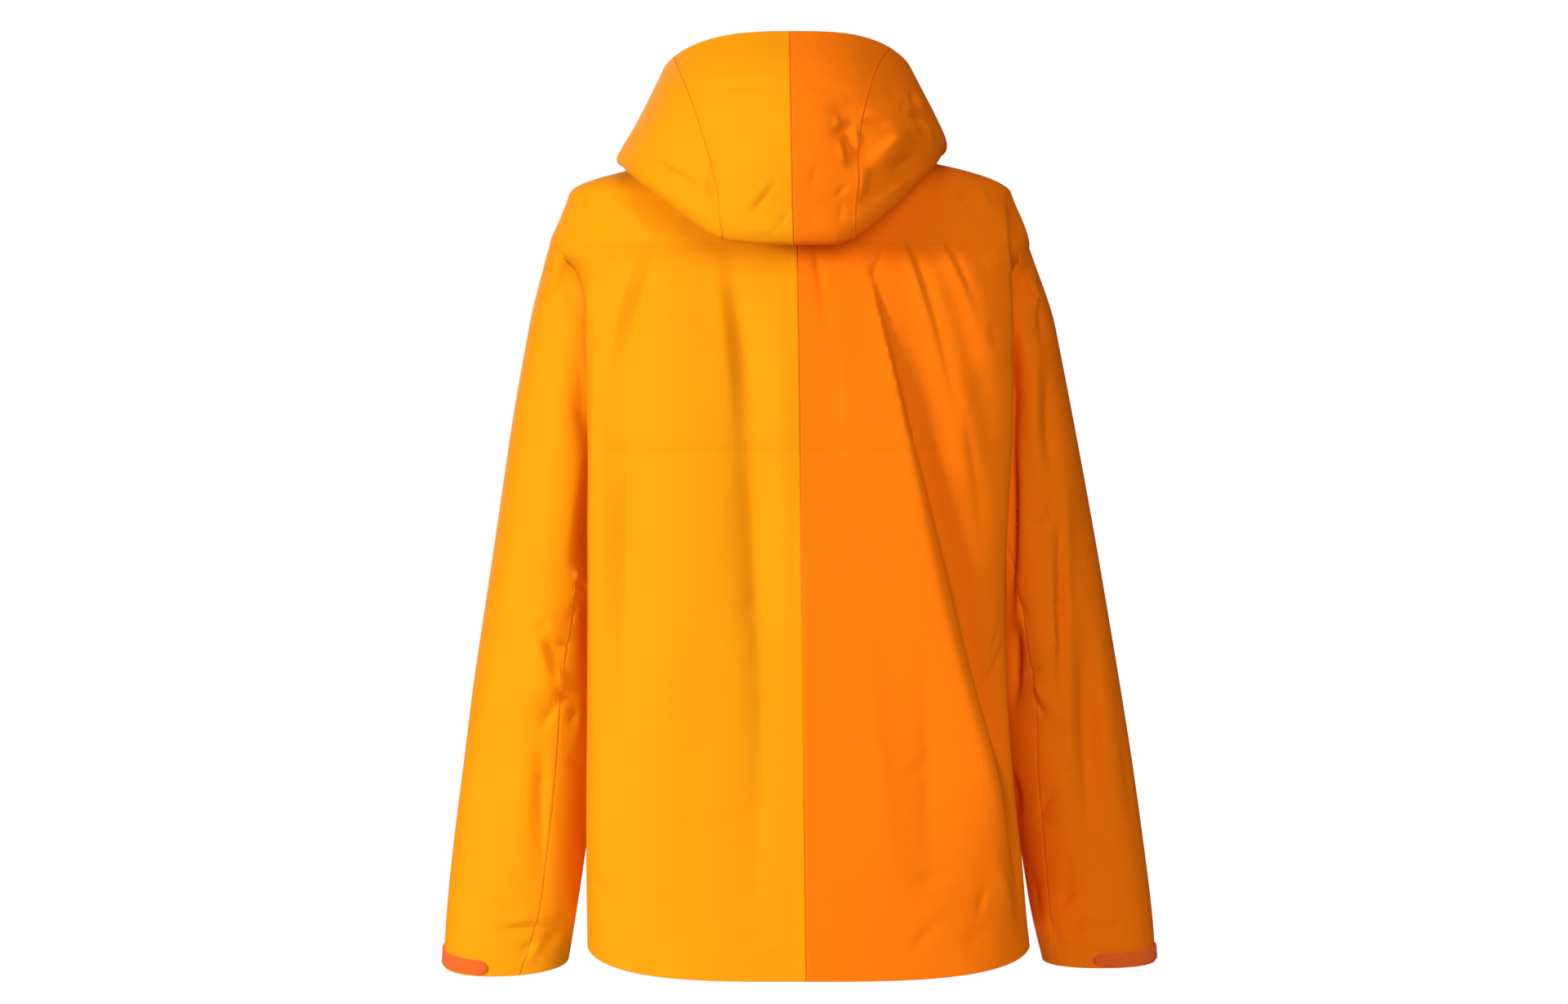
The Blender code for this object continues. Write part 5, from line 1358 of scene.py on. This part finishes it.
def stitch_row(name, side, place, u, v, height=LAP_HEIGHT):
    """Stitches along a line of panel places, as one piece of thread."""
    u, v = np.broadcast_arrays(np.asarray(u, float), np.asarray(v, float))
    points, normals = place(u, v)
    points = points + height * normals
    lengths = np.concatenate([[0], np.cumsum(np.linalg.norm(np.diff(points, axis=0), axis=1))])
    at = np.arange(STITCH_PITCH, lengths[-1] - STITCH_PITCH / 2, STITCH_PITCH)

    def read(values, where):
        return np.stack([np.interp(where, lengths, values[:, axis]) for axis in range(3)], axis=-1)

    shape = bmesh.new()
    runs = read(points, at + STITCH_LENGTH / 2) - read(points, at - STITCH_LENGTH / 2)
    for middle, run, normal in zip(read(points, at), runs, read(normals, at)):
        run, normal = Vector(run).normalized(), Vector(normal).normalized()
        across = run.cross(normal).normalized()
        frame_of_stitch = Matrix((across * THREAD_WIDTH / 2, normal * THREAD_WIDTH / 2,
                                  run * STITCH_LENGTH / 2)).transposed().to_4x4()
        bmesh.ops.create_uvsphere(shape, u_segments=6, v_segments=4, radius=1.0,
                                  matrix=Matrix.Translation(middle) @ frame_of_stitch)
    bmesh.ops.recalc_face_normals(shape, faces=shape.faces[:])
    row = link_object(name, shape, THREAD[side], 80.0)
    put_on(row, [])
    return row


def along(size, near, far, count=400):
    """Places from 0 to 1 that stop short of both ends by these lengths in metres."""
    return np.linspace(near / size, 1 - far / size, count)


stitches = []
for side, word in WORDS.items():
    crown, back, front, sleeve = (hood_cloth(side, crown_panel), body_cloth(side, back_panel),
                                  body_cloth(side, front_panel), sleeve_cloth(side))
    armhole = np.linspace(LOWER_ROWS + 0.4, LOWER_ROWS + ARMHOLE_ROWS - 0.4, 300) / BODY_ROWS
    stitches += [
        stitch_row("crown_stitches_" + word, side, crown, 1 - FROM_LAP / CROWN_SIZE[0],
                   along(CROWN_SIZE[1], 0.006, 0.003)),
        stitch_row("armhole_back_stitches_" + word, side, back, 1 - FROM_LAP / BACK_SIZE[side][0],
                   armhole),
        stitch_row("armhole_front_stitches_" + word, side, front, 1 - FROM_UNDER / FRONT_SIZE[side][0],
                   armhole, 0.0),
        stitch_row("sleeve_stitches_" + word, side, sleeve, FROM_LAP / SLEEVE_SIZE[0],
                   along(SLEEVE_SIZE[1], 0.003, 0.006)),
        stitch_row("zip_edge_stitches_" + word, side, front, FROM_ZIP / FRONT_SIZE[side][0],
                   along(FRONT_SIZE[side][1], 0.004, 0.004), 0.0),
        stitch_row("collar_edge_stitches_" + word, side, hood_cloth(side, hood_side_panel),
                   1 - FROM_ZIP / HOOD_SIDE_SIZE[0], along(HOOD_SIDE_SIZE[1], 0.004, 0.004), 0.0),
    ]
print("stitch rows", len(stitches))

# %% [markdown]
# A strap of loop tape lies round each cuff, from the back over the outer side to the front. Its
# ends are cut round. It follows the sleeve's own cloth, raised by its thickness.

# %% Cuff straps
CuffStrap = namedtuple("CuffStrap", "rear_angle front_angle middle half_height droop")
CUFF_STRAPS = {LEFT: (74, -62, 8.76, 0.155, 0.04), RIGHT: (96, -62, 8.76, 0.150, 0.02)}
STRAP_ROUND_END = 0.06      # share of its length that is rounded off at each end
STRAP_TIP = 0.06            # where on that rounding the strap's end is cut off
STRAP_THICKNESS = 0.0016
STRAP_RISE = 0.0019         # of the strap's face over the sleeve's cloth
STRAP_SIZE, STRAP_CELL = (0.140, 0.015), (0.0024, 0.0014)


def strap_on_cuff(side):
    """Outer points and normals of a strap on the sleeve's cloth."""
    strap = CuffStrap(*CUFF_STRAPS[side])
    steps = np.linspace(0, 1, 400)
    angles = np.degrees(sleeve_angle(side, steps))

    def place(u, v):
        angle = strap.rear_angle + (strap.front_angle - strap.rear_angle) * u
        around = np.interp(-angle, -angles, steps)
        from_end = np.clip(np.minimum(u, 1 - u) / STRAP_ROUND_END, STRAP_TIP, 1)
        height = strap.half_height * np.sqrt(1 - (1 - from_end) ** 2)
        ring = strap.middle + strap.droop * (1 - u) ** 2 - (1 - 2 * v) * height
        point, normal = creased_sleeve(side, around, ring)
        return point + STRAP_RISE * normal, normal
    return place


for side, word in WORDS.items():
    node = "cuff_strap_" + word
    sheets[node] = cloth_panel("cuff_strap_tape_" + word, STRAP_SIZE, STRAP_CELL, strap_on_cuff(side),
                               ("cut", "cut", "cut", "cut"), strap_tape, STRAP_THICKNESS)
    put_on(sheets[node], [node])

# %% [markdown]
# The zip is the coated kind: two tapes whose rounded lips meet over the coil and hide it. They
# follow the centre front from the hem to the top of the collar, a little under the cloth's edges.

# %% Zip tapes
ZIP_SIZE, ZIP_CELL = (0.010, 0.820), (0.0035, 0.0070)
TAPE_SET_BACK = 0.00065
TAPE_THICKNESS = 0.0013


def centre_front(along):
    """Point of the centre front: along 0 to NECK up the body, then up the hood's rings."""
    along = np.asarray(along, float)
    body = body_smooth(LEFT, np.full(along.shape, math.pi), np.minimum(along, NECK))
    hood = hood_smooth(LEFT, np.full(along.shape, math.pi), np.maximum(along - NECK, 0))
    return np.where((along > NECK)[..., None], hood, body)


def zip_cloth(side):
    """Outer points and normals of a tape; u runs from the closing line outwards."""
    steps = np.linspace(0, NECK + HOOD_LAST, 400)
    path = centre_front(steps)
    lengths = np.concatenate([[0], np.cumsum(np.linalg.norm(np.diff(path, axis=0), axis=1))])

    def place(u, v):
        length = ZIP_END_INSET + v * (lengths[-1] - 2 * ZIP_END_INSET)
        reached = np.interp(length, lengths, steps)
        point = centre_front(reached)
        run = (centre_front(np.minimum(reached + ZIP_STEP, NECK + HOOD_LAST))
               - centre_front(np.maximum(reached - ZIP_STEP, 0)))
        normal = np.stack([0 * u, -run[:, 2], run[:, 1]], axis=-1)
        normal = normal / np.linalg.norm(normal, axis=-1, keepdims=True)
        point[:, 0] = side * (SEAM_GAP / 2 + u * (ZIP_HALF_WIDTH - SEAM_GAP / 2))
        return point - TAPE_SET_BACK * normal, normal
    return place


for side, word in WORDS.items():
    node = "zip_tape_" + word
    sheets[node] = cloth_panel("coated_zip_tape_" + word, ZIP_SIZE, ZIP_CELL, zip_cloth(side),
                               ("lip", "cut", "cut", "cut"), TAPE[side], TAPE_THICKNESS)
    put_on(sheets[node], [node])

# %% [markdown]
# The slider is die-cast: a wedge, wider where the two tapes part above it, with rounded edges. Its
# bridge is an arch, spun here from a small rectangle. The slider stays where it closes the zip.

# %% Slider
SLIDER_REST = -0.0970           # y of the zip's face behind the slider
SLIDER_SIZE = (0.0090, 0.0028, 0.0130)
SLIDER_Z = 0.034
SLIDER_FACE = SLIDER_REST - SEAM_GAP - SLIDER_SIZE[1]
SLIDER_FOOT = 0.64              # width of its lower end, as a share of its width
SLIDER_TAPER = 1.6              # how soon it reaches its full width on the way up
BRIDGE_RADIUS = 0.00375         # to the middle of the arch's bar
BRIDGE_BAR = (0.0012, 0.00055)  # half width and half thickness of that bar
BRIDGE_SUNK = 0.0003            # how deep its feet stand in the slider's face

shape = bmesh.new()
plate = bmesh.ops.create_cube(shape, size=1.0)["verts"]
bmesh.ops.scale(shape, vec=SLIDER_SIZE, verts=plate)
bmesh.ops.translate(shape, vec=(0, SLIDER_FACE + SLIDER_SIZE[1] / 2, SLIDER_Z), verts=plate)
upright = [edge for edge in shape.edges if abs((edge.verts[0].co - edge.verts[1].co).z) > 0.001]
bmesh.ops.subdivide_edges(shape, edges=upright, cuts=2)
for vert in shape.verts:
    height = (vert.co.z - SLIDER_Z) / SLIDER_SIZE[2] + 0.5
    vert.co.x *= SLIDER_FOOT + (1 - SLIDER_FOOT) * min(1.0, height * SLIDER_TAPER)
bmesh.ops.bevel(shape, geom=shape.edges[:], offset=0.0005, segments=3, profile=0.5, affect="EDGES",
                material=-1, clamp_overlap=True)
turned = Matrix.Translation((0, 0, BRIDGE_RADIUS)) @ Matrix.Rotation(math.pi / 2, 4, "X")
section = bmesh.ops.create_circle(shape, cap_ends=True, segments=12, radius=1.0,
                                  matrix=turned @ Matrix.Diagonal((*BRIDGE_BAR, 1, 1)))["verts"]
known = set(shape.verts) - set(section)
section_face = [face for face in shape.faces if not known & set(face.verts)]
bmesh.ops.spin(shape, geom=section_face, axis=(1, 0, 0), cent=(0, 0, 0), angle=math.pi, steps=14,
               use_merge=False)
arch = [vert for vert in shape.verts if vert not in known]
bmesh.ops.translate(shape, vec=(0, SLIDER_FACE + BRIDGE_SUNK, SLIDER_Z), verts=arch)
bmesh.ops.holes_fill(shape, edges=[edge for edge in shape.edges if edge.is_boundary])
bmesh.ops.recalc_face_normals(shape, faces=shape.faces[:])
print("slider faces", len(shape.faces))
slider = link_object("zip_slider_body", shape, dark_metal, 35.0)
put_on(slider, ["zip_slider"])

# %% [markdown]
# The pull is a flat stamped tab. Its upper bar turns under the bridge, the bridge stands in its
# window, and its free end is rounded. It is the only piece that moves: it swings on that bar.

# %% Pull
PULL_PIVOT_Y = SLIDER_FACE - 0.0016
PULL_BAR = 0.0018               # thickness of the pull and of the bar that turns under the bridge
PULL_X = (-0.0036, -0.0018, 0.0018, 0.0036)
PULL_Z = (0.0009, -0.0009, -0.0082, -0.0130, -0.0360)       # bar, window, neck and grip, downwards
PULL_GRIP_HALF = 0.0042         # half width of the pull's lower end
PULL_CORNER = 0.0026            # how far its lower corners are rounded
shape = bmesh.new()
columns, rows = len(PULL_X) - 1, len(PULL_Z) - 1
bmesh.ops.create_grid(shape, x_segments=columns, y_segments=rows, size=0.5)
window = [face for face in shape.faces
          if abs(face.calc_center_median().x) < 0.1 and 0.0 < face.calc_center_median().y < 0.25]
bmesh.ops.delete(shape, geom=window, context="FACES_ONLY")
corners = [vert for vert in shape.verts if vert.co.y < -0.49 and abs(vert.co.x) > 0.49]
for vert in shape.verts:
    column, row = round((vert.co.x + 0.5) * columns), round((0.5 - vert.co.y) * rows)
    spread = PULL_GRIP_HALF / PULL_X[-1] if row == rows else 1.0
    vert.co = (PULL_X[column] * spread, PULL_PIVOT_Y - PULL_BAR / 2, SLIDER_Z + PULL_Z[row])
bmesh.ops.bevel(shape, geom=corners, offset=PULL_CORNER, segments=5, profile=0.5, affect="VERTICES",
                material=-1)
grown = bmesh.ops.extrude_face_region(shape, geom=shape.faces[:])
moved = [part for part in grown["geom"] if isinstance(part, bmesh.types.BMVert)]
bmesh.ops.translate(shape, vec=(0, PULL_BAR, 0), verts=moved)
bmesh.ops.recalc_face_normals(shape, faces=shape.faces[:])
rims = [edge for edge in shape.edges if edge.calc_face_angle(0.0) > 0.5]
bmesh.ops.bevel(shape, geom=rims, offset=0.0004, segments=2, profile=0.5, affect="EDGES", material=-1,
                clamp_overlap=True)
print("pull faces", len(shape.faces))
pull = link_object("zip_pull_tab", shape, dark_metal, 35.0)
put_on(pull, ["zip_pull"], "pull")

# %% [markdown]
# A cut of cloth is described by its width and length, the widest and longest of the panel on the
# form, by the area that the cut keeps of that rectangle, and by what holds it and what it rests on.

Cut = namedtuple("Cut", "width length area held rests_on")
